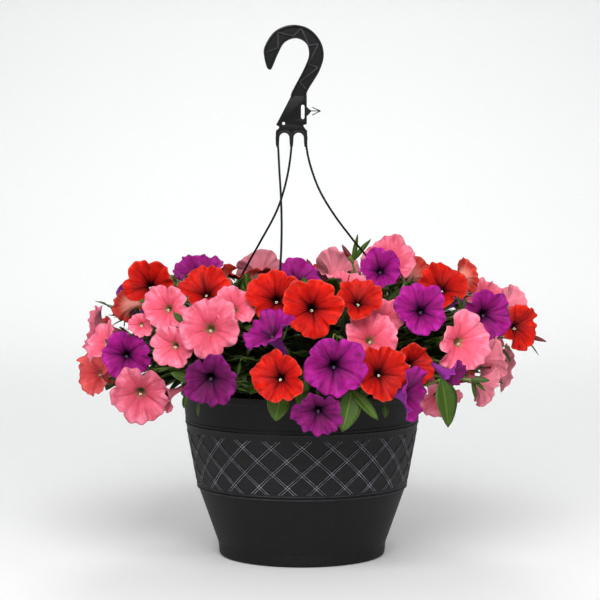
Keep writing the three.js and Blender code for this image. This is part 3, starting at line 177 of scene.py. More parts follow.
# The blooms: node, direction from the pot's axis, height of the face above the rim, width, the way it faces
# (turn and tilt), its roll, and its distance from the axis where it isn't on the dome
BLOOMS = [
    ("blooms_pink_01", 245, 77, 60, -5, 8, 20),
    ("blooms_red_01", 262, 105, 57, 0, 15, -10),
    ("bloom_purple_01", 278, 43, 60, 5, 0, 12),
    ("blooms_red_01", 278, 91, 59, 0, 5, 30),
    ("bloom_red_03", 264, 33, 51, -15, 10, 0),
    ("bloom_red_04", 290, 36, 53, 15, 10, 25),
    ("bloom_purple_02", 306, 93, 52, 0, 15, 5),
    ("bloom_purple_03", 333, 82, 53, 15, 0, 0),
    ("bloom_pink_02", 316, 59, 59, 25, 0, -15),
    ("blooms_red_05", 203, 110, 53, -5, 10, 18),
    ("blooms_red_05", 205, 84, 36, -115, -10, 0),
    ("blooms_pink_03", 224, 6, 59, 0, -15, 8),
    ("bloom_purple_04", 274, -1, 47, 0, -20, 0),
    ("bloom_purple_05", 247, 26, 54, 0, -20, 36),
    ("blooms_pink_04", 227, 93, 47, -15, 10, 10),
    ("bloom_purple_06", 219, 46, 48, 0, 5, 0),
    ("blooms_pink_01", 234, 55, 44, -20, -5, 40),
    ("bloom_red_06", 235, 112, 53, 0, 40, 0),
    ("bloom_red_07", 288, 105, 48, 10, 40, 10),
    ("blooms_pink_06", 290, 79, 54, 10, 25, 0),
    ("bloom_red_08", 329, 112, 52, 0, 35, 15),
    ("bloom_red_17", 351, 117, 38, 120, 10, 0, 174),
    ("blooms_pink_04", 222, 75, 25, 0, 0, 0),
    ("bloom_coral_01", 197, 19, 49, -50, 0, 0),
    ("bloom_pink_08", 203, 56, 46, -60, 30, 0),
    ("blooms_pink_01", 251, 104, 43, 0, 30, 0),
    ("bloom_purple_07", 262, 79, 53, -45, 50, 0),
    ("bloom_purple_08", 298, 13, 54, 65, -5, 0),
    ("bloom_red_09", 301, 39, 44, 25, 0, 0),
    ("bloom_purple_09", 311, 25, 39, 60, -30, 0),
    ("bloom_red_10", 354, 63, 50, 38, 0, 0, 229),
    ("blooms_pink_06", 299, 105, 46, 0, 30, 0),
    ("bloom_purple_10", 323, 127, 44, 0, 25, 0, 100),
    ("bloom_purple_11", 263, 118, 50, 0, 45, 0, 50),
    ("bloom_purple_12", 136, 115, 56, 0, 50, 0),
    ("bloom_red_11", 47, 108, 49, 170, 10, 0),
    ("bloom_pink_11", 12, 89, 47, 20, 20, 0),
    ("bloom_pink_22", 358, 86, 42, 130, 10, 0, 222),
    ("blooms_pink_13", 330, 40, 44, 112, 8, 0),
    ("blooms_pink_13", 325, 8, 45, 112, -25, 0),
    ("bloom_pink_12", 314, 0, 46, 20, -42, 0, 208),
    ("blooms_pink_03", 229, 3, 35, -60, -20, 0, 186),
    ("bloom_pink_15", 75, 115, 56, 160, 35, 0),
    ("bloom_pink_16", 42, 130, 60, 0, 45, 0, 129),
    ("bloom_pink_17", 106, 112, 54, 180, 22, 0),
    ("blooms_pink_18", 12, 14, 52, 100, -8, 0),
    ("blooms_pink_18", 24, 48, 50, 118, 8, 20),
    ("blooms_red_12", 36, 17, 56, 130, -5, 12),
    ("blooms_red_12", 48, 56, 54, 132, 12, 0),
    ("blooms_purple_13", 60, 12, 50, 146, -12, 0),
    ("blooms_purple_13", 71, 48, 54, 165, 5, 30),
    ("blooms_red_13", 84, 20, 52, 172, 0, 0),
    ("blooms_red_13", 95, 57, 54, 182, 10, 15),
    ("blooms_pink_19", 108, 12, 56, 194, -10, 0),
    ("blooms_pink_19", 119, 48, 52, 214, 6, 22),
    ("blooms_purple_14", 132, 18, 54, 226, -4, 0),
    ("blooms_purple_14", 143, 56, 50, 232, 12, 10),
    ("blooms_red_14", 156, 12, 54, 242, -10, 0),
    ("blooms_red_14", 167, 46, 56, 262, 4, 18),
    ("blooms_pink_20", 181, 22, 50, 276, 0, 0),
    ("blooms_pink_20", 184, 64, 48, 284, 14, 25),
    ("blooms_purple_15", 30, 86, 50, 124, 22, 0),
    ("blooms_purple_15", 62, 88, 52, 146, 24, 14),
    ("blooms_red_15", 84, 96, 50, 170, 28, 0),
    ("blooms_red_15", 100, 90, 54, 196, 20, 20),
    ("blooms_coral_02", 120, 90, 52, 206, 24, 0),
    ("blooms_coral_02", 134, 92, 50, 232, 28, 8),
    ("blooms_purple_16", 154, 88, 52, 240, 22, 0),
    ("blooms_purple_16", 169, 94, 48, 262, 30, 16),
    ("blooms_red_16", 168, 114, 50, 250, 60, 0, 112),
    ("blooms_red_16", 150, 116, 48, 200, 75, 0, 70),
    ("blooms_pink_21", 335, 115, 50, 40, 78, 0, 50),
    ("blooms_pink_21", 60, 115, 48, 120, 78, 0, 52),
]

# Twigs: the point that each grows to, its narrow leaves as (tip, width) and the tip of its bud, as x, y and
# height above the rim
TWIGS = [
    ((48, -195, 17), [((39, -204, -22), 24), ((74, -203, -10), 12)], None),
    ((-20, -192, 16), [((-26, -200, -12), 22)], None),
    ((3, -190, 28), [((-4, -197, 2), 14)], None),
    ((134, -195, 28), [((142, -207, -17), 26)], None),
    ((202, -60, 46), [((215, -62, 30), 12)], None),
    ((230, 14, 54), [((252, 10, 32), 7), ((249, 16, 63), 6)], (258, 13, 45)),
    ((166, -156, 23), [((184, -158, 23), 7), ((180, -160, 13), 6), ((171, -159, 3), 7)], None),
    ((158, -120, 85), [((155, -122, 105), 7), ((163, -124, 100), 6)], None),
    ((54, 60, 127), [((61, 60, 157), 6), ((74, 62, 152), 6)], (43, 60, 145)),
    ((13, -20, 118), [], (5, -20, 134)),
    ((-115, -178, 82), [((-125, -180, 91), 7)], None),
    ((-39, -168, 68), [((-57, -172, 78), 9)], None),
    ((-109, -165, 24), [((-128, -172, 32), 10)], None),
    ((-173, -128, 15), [((-190, -130, 22), 7)], None),
]

# The hanger, as in the part's source: its arms as the direction of each ear and the points on the way to it,
# and its hook as lines of (x, height)
ARM_RADIUS = 1.3
ARM_STRAIGHT = 190  # the height from which each arm runs straight down
BEAD_RADIUS = 3.2
HOOK_THICK = 9
NECK_THICK = 5
PRONG_THICK = 3.2
PRONG_END = 429
ARCHES = [(-18.4, 6), (-3.5, 6.1)]  # between the prongs: middle and radius
ARCH_HEIGHT = 436.4
ARMS = [
    (261, [(-25.9, 0, 441), (-25, -0.4, 429), (-23.6, -6, 403), (-22, -17, 378), (-21, -34, 350),
           (-21.3, -53, 322), (-22.6, -75, 292), (-21, -98, 255), (-18.8, -113, 215)]),
    (141, [(-10.9, 0, 441), (-11.2, 0.4, 426), (-13.6, 3, 406), (-19.2, 9.8, 381), (-27.4, 18, 358),
           (-44, 31.7, 327), (-59, 44, 300), (-78, 60, 262), (-88.5, 71, 222)]),
    (21, [(4, 0, 441), (4.8, 0.3, 426), (8.6, 1.6, 408), (18.2, 5.4, 382), (33, 10.6, 357),
          (52.4, 17.5, 331), (74, 26, 304), (95, 35, 268), (106.5, 41, 225)]),
]
HOOK_ROWS = 110
HOOK_BACK = [(5, 479), (5, 483), (18.8, 507.3), (22.6, 521.9), (19.6, 535.5), (8, 548.9), (-10.1, 553.5),
             (-28.2, 546.7), (-39, 530.5), (-39.8, 524), (-36.3, 509), (-34.6, 507.2)]
HOOK_INSIDE = [(-11.8, 479), (-11.8, 481), (2.9, 509.9), (7.2, 522.7), (4.6, 533.9), (-5.7, 539.6),
               (-17.8, 535.5), (-24.3, 524.9), (-31.2, 509), (-32.4, 507.2)]

# Curves and vectors


def unit(vectors):
    """Each vector divided by its length."""
    return vectors / np.linalg.norm(vectors, axis=-1, keepdims=True)


def polar(radius, angle, height):
    """(radius cos angle, radius sin angle, height)."""
    radius, angle, height = np.broadcast_arrays(radius, angle, height)
    return np.stack([radius * np.cos(angle), radius * np.sin(angle), height], axis=-1)


def mix(low, high, share):
    """low + (high - low) * share."""
    return low + (high - low) * share


def lengths_along(line):
    """The line's length up to each of its points."""
    return np.concatenate([[0], np.cumsum(np.linalg.norm(np.diff(line, axis=0), axis=1))])


def spaced(line, count):
    """Points at even distances along a line of close points."""
    lengths = lengths_along(line)
    places = np.linspace(0, lengths[-1], count)
    return np.stack([np.interp(places, lengths, values) for values in line.T], axis=1)


def curve_through(points, count):
    """A centripetal Catmull-Rom curve. A span from p1 to p2 is a cubic whose slopes there follow the points
    before and after, each weighted by the square root of the distance between points."""
    points = np.array(points, float)
    ends = np.vstack([2 * points[0] - points[1], points, 2 * points[-1] - points[-2]])
    p0, p1, p2, p3 = (ends[k:len(ends) - 3 + k, None] for k in range(4))
    steps = (p1 - p0, p2 - p1, p3 - p2)
    d0, d1, d2 = (np.sqrt(np.linalg.norm(step, axis=2, keepdims=True)) for step in steps)
    leave = ((p1 - p0) / d0 - (p2 - p0) / (d0 + d1) + (p2 - p1) / d1) * d1
    arrive = ((p2 - p1) / d1 - (p3 - p1) / (d1 + d2) + (p3 - p2) / d2) * d1
    t = np.linspace(0, 1, SPAN_POINTS, endpoint=False)[None, :, None]
    spans = (p1 * (1 + t * t * (2 * t - 3)) + p2 * t * t * (3 - 2 * t)
             + leave * t * (1 - t) ** 2 - arrive * t * t * (1 - t))
    return spaced(np.vstack([spans.reshape(-1, points.shape[1]), points[-1:]]), count)


def rounded(points, rounds):
    """Corner cutting: each step replaces a corner by points a quarter of the way along its two sides."""
    line = np.array(points, float)
    for _ in range(rounds):
        near, far = (mix(line[:-1], line[1:], share) for share in (0.25, 0.75))
        cut = np.stack([near, far], axis=1).reshape(-1, line.shape[1])
        line = np.vstack([line[:1], cut[1:-1], line[-1:]])
    return line


def tube(path, radii, sides):
    """A tube: each ring is path + radius (cos a normal + sin a side), square to the path, and both ends are
    closed. radii is one radius, or one for each ring, or one for each point of each ring."""
    beyond = np.vstack([path[:1] * 2 - path[1:2], path, path[-1:] * 2 - path[-2:-1]])
    way = unit(beyond[2:] - beyond[:-2])
    lead = np.eye(3)[np.argmin(np.abs(path[-1] - path[0]))]
    normal = unit(lead - way * (way @ lead)[:, None])
    side = np.cross(way, normal)
    angle = np.linspace(0, TURN, sides + 1)[None, :, None]
    radii = np.asarray(radii, float)
    spread = radii[..., None] if radii.ndim == 2 else radii.reshape(-1, 1, 1)
    across = np.cos(angle) * normal[:, None] + np.sin(angle) * side[:, None]
    return closed_ends(path[:, None] + spread * across)


def closed_ends(rings):
    """The same rings with a pole at each end, at the middle of the end ring."""
    first, last = (np.broadcast_to(ring[:-1].mean(axis=0), ring.shape) for ring in (rings[0], rings[-1]))
    return np.concatenate([first[None], rings, last[None]])


def turned(profile, columns):
    """A surface of revolution: (radius cos a, radius sin a, height) for each radius and height."""
    profile = np.array(profile, float)
    angle = np.linspace(0, TURN, columns + 1)
    return polar(profile[:, :1], angle, profile[:, 1:])


def lumps(points, size):
    """A smooth uneven value from -1 to 1 at each point: three crossed sine waves of about one size."""
    x, y, z = np.moveaxis(points / size, -1, 0)
    crossed = (2.1 * x + 1.3 * y + 0.4, 1.7 * y - 1.1 * z + 2.2 * x + 1.9, 2.3 * z + 0.9 * x - 1.6 * y)
    return sum(np.sin(turn) for turn in crossed) / 3


# Meshes


Patch = namedtuple("Patch", "points faces slot chart fields")


def quads(corner):
    """The four corners of each cell, from a grid of the numbers of its points."""
    loops = [corner[..., :-1, :-1], corner[..., :-1, 1:], corner[..., 1:, 1:], corner[..., 1:, :-1]]
    return np.stack(loops, axis=-1).reshape(-1, 4)


def placed(name, data):
    """A new object in the scene."""
    thing = bpy.data.objects.new(name, data)
    bpy.context.scene.collection.objects.link(thing)
    return thing


class Shape:
    """The surfaces of one piece: each patch has points, faces, the number of its finish, and for each point
    two map values and its fields."""

    def __init__(self):
        self.patches = []
        self.count = 0

    def add(self, grid, slot=0, chart=(0, 0), **fields):
        """Adds a grid of points, or many: (..., rows, columns, 3). Seen from outside, a quarter turn
        anticlockwise leads from the way along a row to the way from row to row."""
        grid = np.asarray(grid, float)
        places = grid.shape[:-1]
        faces = quads(np.arange(math.prod(places)).reshape(places))
        chart = np.broadcast_to(chart, (*places, 2)).reshape(-1, 2)
        fields = {name: np.broadcast_to(value, places).ravel() for name, value in fields.items()}
        self.add_faces(grid.reshape(-1, 3), faces, slot, chart, fields)

    def add_faces(self, points, faces, slot=0, chart=None, fields=None):
        """Adds points and the faces between them."""
        chart = np.zeros((len(points), 2)) if chart is None else chart
        self.patches.append(Patch(points, faces + self.count, slot, chart, fields or {}))
        self.count += len(points)

    def values(self, field):
        """One field at every point, 0 where a patch doesn't have it."""
        return np.concatenate([patch.fields.get(field, np.zeros(len(patch.points)))
                               for patch in self.patches])

    def make(self, name, finishes, stands_for, sharp=None):
        """Makes the piece's mesh in metres, with its seams and poles closed, and puts it in the frame."""
        mesh = bpy.data.meshes.new(name)
        points = np.vstack([patch.points for patch in self.patches]) * MM
        mesh.from_pydata(points, [], [face for patch in self.patches for face in patch.faces.tolist()])
        corners = np.concatenate([patch.faces.ravel() for patch in self.patches])
        chart = np.vstack([patch.chart for patch in self.patches])[corners]
        mesh.uv_layers.new(name="chart").data.foreach_set("uv", chart.ravel())
        slots = np.concatenate([np.full(len(patch.faces), patch.slot) for patch in self.patches])
        mesh.polygons.foreach_set("material_index", slots)
        for field in sorted({field for patch in self.patches for field in patch.fields}):
            mesh.attributes.new(field, "FLOAT", "POINT").data.foreach_set("value", self.values(field))
        for finish in finishes:
            mesh.materials.append(finish)
        welded(mesh)
        if sharp:
            mesh.set_sharp_from_angle(angle=math.radians(sharp))
        piece = placed(name, mesh)
        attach(piece, BODY)
        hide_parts(stands_for)


def welded(mesh):
    """Merges points that lie in one place, drops faces without area, and shades the mesh smooth."""
    work = bmesh.new()
    work.from_mesh(mesh)
    bmesh.ops.remove_doubles(work, verts=work.verts, dist=MERGE_DISTANCE * MM)
    bmesh.ops.dissolve_degenerate(work, edges=work.edges, dist=MERGE_DISTANCE * MM)
    for face in work.faces:
        face.smooth = True
    work.to_mesh(mesh)
    work.free()


def read(items, field, each, kind=float):
    """A field of a mesh's points or triangles, as rows of so many numbers."""
    values = np.empty(len(items) * each, kind)
    items.foreach_get(field, values)
    return values.reshape(-1, each)


def filled_curve(outlines, thick, bevel):
    """A flat curve, filled between an outline and its holes, as thick as the plate and bevelled inwards."""
    curve = bpy.data.curves.new("plate", "CURVE")
    curve.dimensions = "2D"
    curve.fill_mode = "BOTH"
    curve.extrude = thick / 2 - bevel
    curve.bevel_depth = bevel
    curve.offset = -bevel
    curve.bevel_resolution = 2
    for outline in outlines:
        spline = curve.splines.new("POLY")
        spline.points.add(len(outline) - 1)
        flat = [(x, z, 0, 1) for x, z in outline]
        spline.points.foreach_set("co", np.array(flat, float).ravel())
        spline.use_cyclic_u = True
    return curve


def plate(outlines, thick, bevel):
    """A flat plate in the XZ plane with bevelled edges, from an outline and its holes: points, triangles."""
    curve = filled_curve(outlines, thick, bevel)
    maker = placed("plate", curve)
    bpy.context.view_layer.update()
    made = bpy.data.meshes.new_from_object(maker.evaluated_get(bpy.context.evaluated_depsgraph_get()))
    made.calc_loop_triangles()
    x, z, depth = read(made.vertices, "co", 3).T
    faces = read(made.loop_triangles, "vertices", 3, int)
    bpy.data.objects.remove(maker)
    bpy.data.curves.remove(curve)
    bpy.data.meshes.remove(made)
    return np.stack([x, -depth, z], axis=1), faces


def arc(x, z, radius, start, end, count=9):
    """Points on an arc round (x, z), from one angle to another in degrees."""
    angle = np.radians(np.linspace(start, end, count))
    return list(zip(x + radius * np.cos(angle), z + radius * np.sin(angle)))


# Finishes


def linear(*levels):
    """A colour given as three levels of 0 to 255 on a screen, as the values that shaders take."""
    share = np.array(levels) / 255
    straight, curved = share / 12.92, ((share + 0.055) / 1.055) ** 2.4
    return tuple(float(value) for value in np.where(share <= 0.04045, straight, curved))


class Value:
    """A shader socket that takes part in arithmetic; each step adds a Math node."""

    def __init__(self, finish, socket):
        self.finish = finish
        self.socket = socket

    def math(self, operation, *values):
        """The result of one Math node."""
        return self.finish.node("ShaderNodeMath", {"operation": operation}, dict(enumerate(values)))

    def __add__(self, other):
        return self.math("ADD", self, other)

    def __sub__(self, other):
        return self.math("SUBTRACT", self, other)

    def __rsub__(self, other):
        return self.math("SUBTRACT", other, self)

    def __mul__(self, other):
        return self.math("MULTIPLY", self, other)

    def __abs__(self):
        return self.math("ABSOLUTE", self)

    __radd__ = __add__
    __rmul__ = __mul__

    def sine(self):
        """The sine of the value in radians."""
        return self.math("SINE", self)

    def fade(self, low, high):
        """1 below low and 0 above high, with a smooth step between."""
        return self.ramp(low, high, 1, 0)

    def ramp(self, low, high, start=0.0, end=1.0):
        """start up to low and end from high on, with a smooth step between; low may be above high."""
        return self.finish.node("ShaderNodeMapRange", {"interpolation_type": "SMOOTHSTEP"},
                                {0: self, 1: low, 2: high, 3: start, 4: end})


class Finish:
    """A material under construction."""

    def __init__(self, name, roughness, **more):
        self.material = bpy.data.materials.new(name)
        self.material.use_nodes = True
        self.tree = self.material.node_tree
        self.shader = self.tree.nodes["Principled BSDF"]
        self.shader.inputs["Roughness"].default_value = roughness
        for socket, value in more.items():
            self.shader.inputs[socket.replace("_", " ")].default_value = value

    def node(self, kind, settings=None, inputs=None, output=0):
        """Adds a node: its settings first, then its sockets' values or links."""
        made = self.tree.nodes.new(kind)
        for name, value in (settings or {}).items():
            setattr(made, name, value)
        for key, value in (inputs or {}).items():
            self.feed(made.inputs[key], value)
        return Value(self, made.outputs[output])

    def feed(self, socket, value):
        """Links a socket to a value, or sets it to a number or a colour."""
        if isinstance(value, Value):
            self.tree.links.new(value.socket, socket)
        elif socket.type == "RGBA":
            socket.default_value = (*value, 1)
        else:
            socket.default_value = value

    def blend(self, share, first, second):
        """The first colour where share is 0, and the second where it is 1."""
        return self.node("ShaderNodeMix", {"data_type": "RGBA"}, {0: share, 6: first, 7: second}, 2)

    def lighten(self, color, share):
        """The colour multiplied by a share that may be more than 1."""
        return self.node("ShaderNodeVectorMath", {"operation": "SCALE"}, {0: color, 3: share})

    def place(self):
        """The point's place in the piece."""
        return self.node("ShaderNodeTexCoord", output=3)

    def vector(self, x, y, z):
        """A vector of three values."""
        return self.node("ShaderNodeCombineXYZ", inputs={0: x, 1: y, 2: z})

    def chart(self):
        """The piece's two map values."""
        both = self.node("ShaderNodeUVMap", {"uv_map": "chart"})
        first = self.node("ShaderNodeSeparateXYZ", inputs={0: both})
        return first, Value(self, first.socket.node.outputs[1])

    def height(self):
        """The height in millimetres."""
        return self.node("ShaderNodeSeparateXYZ", inputs={0: self.place()}, output=2) * (1 / MM)

    def field(self, name):
        """One of the numbers that the mesh carries at its points."""
        return self.node("ShaderNodeAttribute", {"attribute_name": name}, output=2)

    def noise(self, size, detail=2.0, where=None):
        """Noise of 0 to 1 whose features are about size millimetres wide."""
        inputs = {"Vector": where or self.place(), "Scale": 1 / (size * MM), "Detail": detail}
        return self.node("ShaderNodeTexNoise", inputs=inputs)

    def bump(self, height, strength, reach):
        """Raises the surface by up to reach millimetres where height is 1."""
        inputs = {"Height": height, "Strength": strength, "Distance": reach * MM}
        self.feed(self.shader.inputs["Normal"], self.node("ShaderNodeBump", inputs=inputs))

    def color(self, value):
        """Sets the surface's colour, and returns the finished material."""
        self.feed(self.shader.inputs["Base Color"], value)
        return self.material


def plain_finish(name, color, roughness, grain=None):
    """One colour, with grain as (size, strength, reach) where the surface has one."""
    finish = Finish(name, roughness)
    if grain:
        size, strength, reach = grain
        finish.bump(finish.noise(size, 3), strength, reach)
    return finish.color(color)


def petal_veins(reach, middle, fans, veining):
    """A main vein down the middle of each petal, and two fans of fine ones, that fade towards the rim."""
    main = (middle * reach).fade(0.003, 0.03) * reach.ramp(0.35, 0.88, 1, 0.1)
    fine = fans[0].fade(0.004, 0.05) * 0.55 + fans[1].fade(0.01, 0.09) * 0.4
    fine = fine * reach.ramp(0.3, 0.85, 1, 0.15)
    return (main + fine) * veining * reach.ramp(0.02, 0.14)


def petal_finish(name, face, light, deep, throat, vein, back, back_vein, veining):
    """Petals: the face colour deepens towards the throat, partly as painted shade, and lightens in patches
    near the rim, partly as painted highlight; fine veins fan out from the throat, a main vein runs down the
    middle of each petal, the rim takes a little of the back's vein colour as painted light shining through,
    the back is duller with veins, and the face's brightness varies in patches and streaks, which also paint
    shade and light along the folds, with painted shade on a bloom that looks down.
    middle is 0 along each petal's middle line, and a fan is 0 along its veins."""
    finish = Finish(name, 0.6, Specular_IOR_Level=0.16)
    around, reach = finish.chart()
    wobble = finish.noise(14, 1) - 0.5
    turn = around * (PETAL_COUNT * math.pi) + wobble * 0.25
    middle = abs((turn + math.pi / 2).sine())
    fans = [abs((turn * count + shift).sine()) * reach for count, shift in ((2, 0), (4, 0.4))]
    lines = petal_veins(reach, middle, fans, veining)
    tint = finish.field("tint")
    streaks = finish.noise(1000, 3, finish.vector(around * 46, reach * 1.6, tint * 31))
    patches = finish.noise(9, 3)
    # pale patches near the rim: partly the petals' own tone and partly painted highlight
    pale_and_highlight = (streaks * 0.7 + patches * 0.6 + reach * 0.5).ramp(0.9, 1.3)
    skin = finish.blend(pale_and_highlight * 0.85, face, light)
    # the deep colour towards the throat: partly the petals' own and partly painted shade inside the trumpet
    skin = finish.blend((reach + middle * 0.12).fade(0.14, 0.68) * 0.92, skin, deep)
    skin = finish.blend(streaks.ramp(0.42, 0.7) * (veining * 0.85), skin, deep)
    skin = finish.blend(lines, skin, vein)
    skin = finish.blend((reach + middle * 0.09).fade(0.12, 0.3), skin, throat)
    # painted light at the rim: a little of the back's vein colour, as of light shining through
    skin = finish.blend(reach.ramp(0.93, 1.0) * 0.1, skin, back_vein)
    ribs = fans[0].fade(0.01, 0.06) * 0.6 + (middle * reach).fade(0.01, 0.05)
    under = finish.blend(ribs * 0.55 * reach.ramp(1.0, 0.4, 0.2, 1), back, back_vein)
    under = finish.blend(reach.fade(0.2, 0.75) * 0.65, under, back_vein)
    skin = finish.blend(finish.field("back"), skin, under)
    # brightness varies at random in patches and streaks; the streaks also paint shade and light along the
    # folds, and a field carries painted shade that darkens a bloom that looks down
    skin = finish.lighten(skin, patches * 0.45 + streaks * 0.45 + tint * 0.45 + 0.23)
    finish.bump(finish.noise(1.3, 2) * 0.3 + streaks * 0.9 - lines * 0.6, 0.7, 1.1)
    return finish.color(skin)


def leaf_finish(name, color, vein, rim):
    """Leaves: a pale midrib with side veins that slant forward, a light edge, and painted shade that darkens
    those deep inside.
    """
    finish = Finish(name, 0.5, Specular_IOR_Level=0.3)
    across, along = finish.chart()
    off = abs(across - 0.5)
    side = abs(((along * 9 - off * 5) * math.pi).sine())
    veins = off.fade(0.012, 0.045) * 0.6 + side.fade(0.05, 0.3) * 0.14
    skin = finish.blend(veins, color, vein)
    skin = finish.blend(off.ramp(0.44, 0.495) * 0.6, skin, rim)
    tint = finish.field("tint")
    shade = finish.field("shade")
    # the shade field is painted shade, darkest on leaves deep in the crown
    skin = finish.lighten(skin, (finish.noise(7, 3) * 0.5 + tint * 0.6 + 0.36) * (1 - shade * 0.74))
    finish.bump(veins * -0.6 + finish.noise(0.9, 2) * 0.3, 0.4, 0.4)
    return finish.color(skin)


def pot_finish(name, color):
    """Matt black plastic: a pebbled grain inside the band and a faint one elsewhere, a little dust, and
    painted highlights on the ridges' tops, the studs and along the band's edges, with painted shade at the
    ridges' sides."""
    finish = Finish(name, 0.62, Specular_IOR_Level=0.2)
    height = finish.height()
    band = height.ramp(BAND_LOW + 0.5, BAND_LOW + 1.5) * height.fade(BAND_HIGH - 1.5, BAND_HIGH - 0.5)
    pebbles = finish.node("ShaderNodeTexVoronoi", {"feature": "SMOOTH_F1"},
                          {"Vector": finish.place(), "Scale": 1 / (1.5 * MM)})
    finish.bump((1 - pebbles) * band + finish.noise(0.7, 2) * 0.18, 0.8, 0.45)
    dust = finish.noise(6, 4).ramp(0.45, 0.8)
    # the painted highlight and shade vary in strength in patches
    painted_light_gain = finish.noise(9, 3).ramp(0.3, 0.7, 20.0, 44.0)
    # painted highlights along the band's lower edge, the bead below it and its upper edge
    low_edge = abs(height - (BAND_LOW + 0.2)).fade(0.15, 0.7)
    bead = abs(height - (BAND_LOW - 3.3)).fade(0.2, 0.8)
    high_edge = abs(height - (BAND_HIGH - 0.2)).fade(0.15, 0.6)
    edges = low_edge * 0.1 + bead * 0.1 + high_edge * 0.05
    painted_light_level = (finish.field("worn") + edges) * painted_light_gain
    return finish.color(finish.lighten(color, band * 0.55 + dust * 0.25 + painted_light_level + 0.68))


# Pot


def band_angle(column):
    """The direction of a column of the band; every other row has a crossing straight in front."""
    return TURN * (column - 0.5) / COLUMNS


def band_radius(height):
    """The wall's radius between the band's lower and upper edge."""
    return mix(BAND_LOW_RADIUS, BAND_HIGH_RADIUS, (height - BAND_LOW) / (BAND_HIGH - BAND_LOW))


def beside(radius, height, *steps):
    """The points that lie these steps out and up from one point of the profile."""
    return [(radius + out, height + up) for out, up in steps]


def pot_profile():
    """Radius and height along the pot's skin: from the underside out, over the foot, the double ring, the
    band, its upper edge and the lip, and down the inside to the floor. Each corner has a point close by on
    both sides, so that it stays crisp."""
    return [
        *beside(BASE_RADIUS, 0, (-1, 0), (0, 0), (1.2, 0.4), (2, 1.8), (2.3, 3)),
        *beside(FOOT_RADIUS, FOOT_HEIGHT, (-0.2, -1.4), (0, -0.6), (-0.1, 0.2), (0.2, 1)),
        *beside(BAND_LOW_RADIUS, BAND_LOW, (-2.2, -7), (-1.6, -4.9), (-1.2, -4.5), (0.2, -4), (0.5, -3.4),
                (0.2, -2.8), (-0.5, -2.2), (-0.5, -1.4), (0.5, -0.8), (0.8, 0), (0.6, 0.6), (0.2, 1)),
        *((band_radius(height), height) for height in (BAND_LOW + 2, 100, 120, BAND_HIGH - 2)),
        *beside(BAND_HIGH_RADIUS, BAND_HIGH, (0.1, -1), (0.7, -0.3), (0.7, 0.3), (0, 1.1), (0.1, 2.4),
                (0.7, 3), (0.6, 3.7), (0.3, 4.5)),
        *beside(RIM_RADIUS, POT_HEIGHT - LIP_HEIGHT, (-2.6, -0.8), (-2.4, 0), (-0.8, 0.2), (-0.4, 0.8)),
        *beside(RIM_RADIUS, POT_HEIGHT, (-0.1, -2), (0, -1), (-0.3, -0.3), (-1.1, 0), (-2.6, 0), (-3.2, -0.4),
                (-3.5, -1.5)),
        (BAND_HIGH_RADIUS - WALL, BAND_HIGH), (BAND_LOW_RADIUS - WALL, BAND_LOW),
        (FOOT_RADIUS - WALL, FOOT_HEIGHT), *beside(BASE_RADIUS, FLOOR, (-1.3, 1), (-2, 0), (-3, 0)),
    ]


def pierced(angles, hole, outline, high, low):
    """A plate round a hole: its top from the outline in to the hole, down the hole, and out underneath."""
    rings = [(outline, high), (hole, high), (hole, low), (outline, low)]
    return np.stack([polar(np.broadcast_to(ring, angles.shape), angles, height) for ring, height in rings])


def turned_about(grid, angle, out):
    """The grid moved out along X, and then turned round the Z axis."""
    cos, sin = math.cos(angle), math.sin(angle)
    return (grid + (out, 0, 0)) @ np.array([(cos, sin, 0), (-sin, cos, 0), (0, 0, 1)])


def floor_share():
    """One fifth of the pot's floor round its drain hole: the outline is where a ray from the hole's middle
    meets the first of the two straight sides and the round wall."""
    half = math.pi / DRAINS
    radius = BASE_RADIUS - 1
    corner = math.atan2(radius * math.sin(half), radius * math.cos(half) - DRAIN_CIRCLE)
    angles = np.sort(np.concatenate([np.linspace(-math.pi, math.pi, 41), [corner, -corner]]))
    cos, sin = np.cos(angles), np.sin(angles)
    wall = -DRAIN_CIRCLE * cos + np.sqrt(radius ** 2 - (DRAIN_CIRCLE * sin) ** 2)
    toward = np.abs(sin) * math.cos(half) - cos * math.sin(half)
    side = np.where(toward > TINY, DRAIN_CIRCLE * math.sin(half) / np.maximum(toward, TINY), np.inf)
    return pierced(angles, DRAIN_RADIUS, np.minimum(wall, side), FLOOR, 0)


def ear_plate():
    """The ear: round towards the axis, square towards the wall, with its hole."""
    angles = np.linspace(-math.pi, math.pi, 49)
    cos, sin = np.cos(angles), np.abs(np.sin(angles))
    square = np.minimum(EAR_REACH / np.maximum(cos, TINY), EAR_HALF_WIDTH / np.maximum(sin, TINY))
    outline = np.where(cos < 0, EAR_HALF_WIDTH, square)
    ear = pierced(angles, EAR_HOLE, outline, EAR_TOP, EAR_TOP - EAR_THICK)
    return np.concatenate([ear, ear[:1]])


def band_ribs(rise):
    """The quilting: on each diagonal two half-round ridges run side by side. A ridge is the wall's point at
    an angle that grows with height, raised by rise times the root of 1 - e squared across its width e, and
    its ends sink into the wall."""
    heights = np.linspace(BAND_LOW + 1.4, BAND_HIGH - 6.5, 27)
    across = np.linspace(-1, 1, len(RIDGE_PAINTED_LIGHT))
    ends = np.ones((len(heights), 1))
    ends[[0, -1]] = 0
    first = np.arange(COLUMNS)[:, None, None, None]
    lean = np.array([-1, 1])[:, None, None]
    pair = np.array([-RIDGE_ASIDE, RIDGE_ASIDE])[:, None]
    columns = first + lean * (heights - FIRST_CROSSING) / CROSSING_STEP / 2 + pair
    radius = band_radius(heights)[:, None]
    angle = band_angle(columns)[..., None] + across * RIDGE_HALF_WIDTH / radius
    raised = radius - RIDGE_SINK + rise * np.sqrt(1 - across ** 2) * ends
    return polar(raised, angle, heights[:, None])


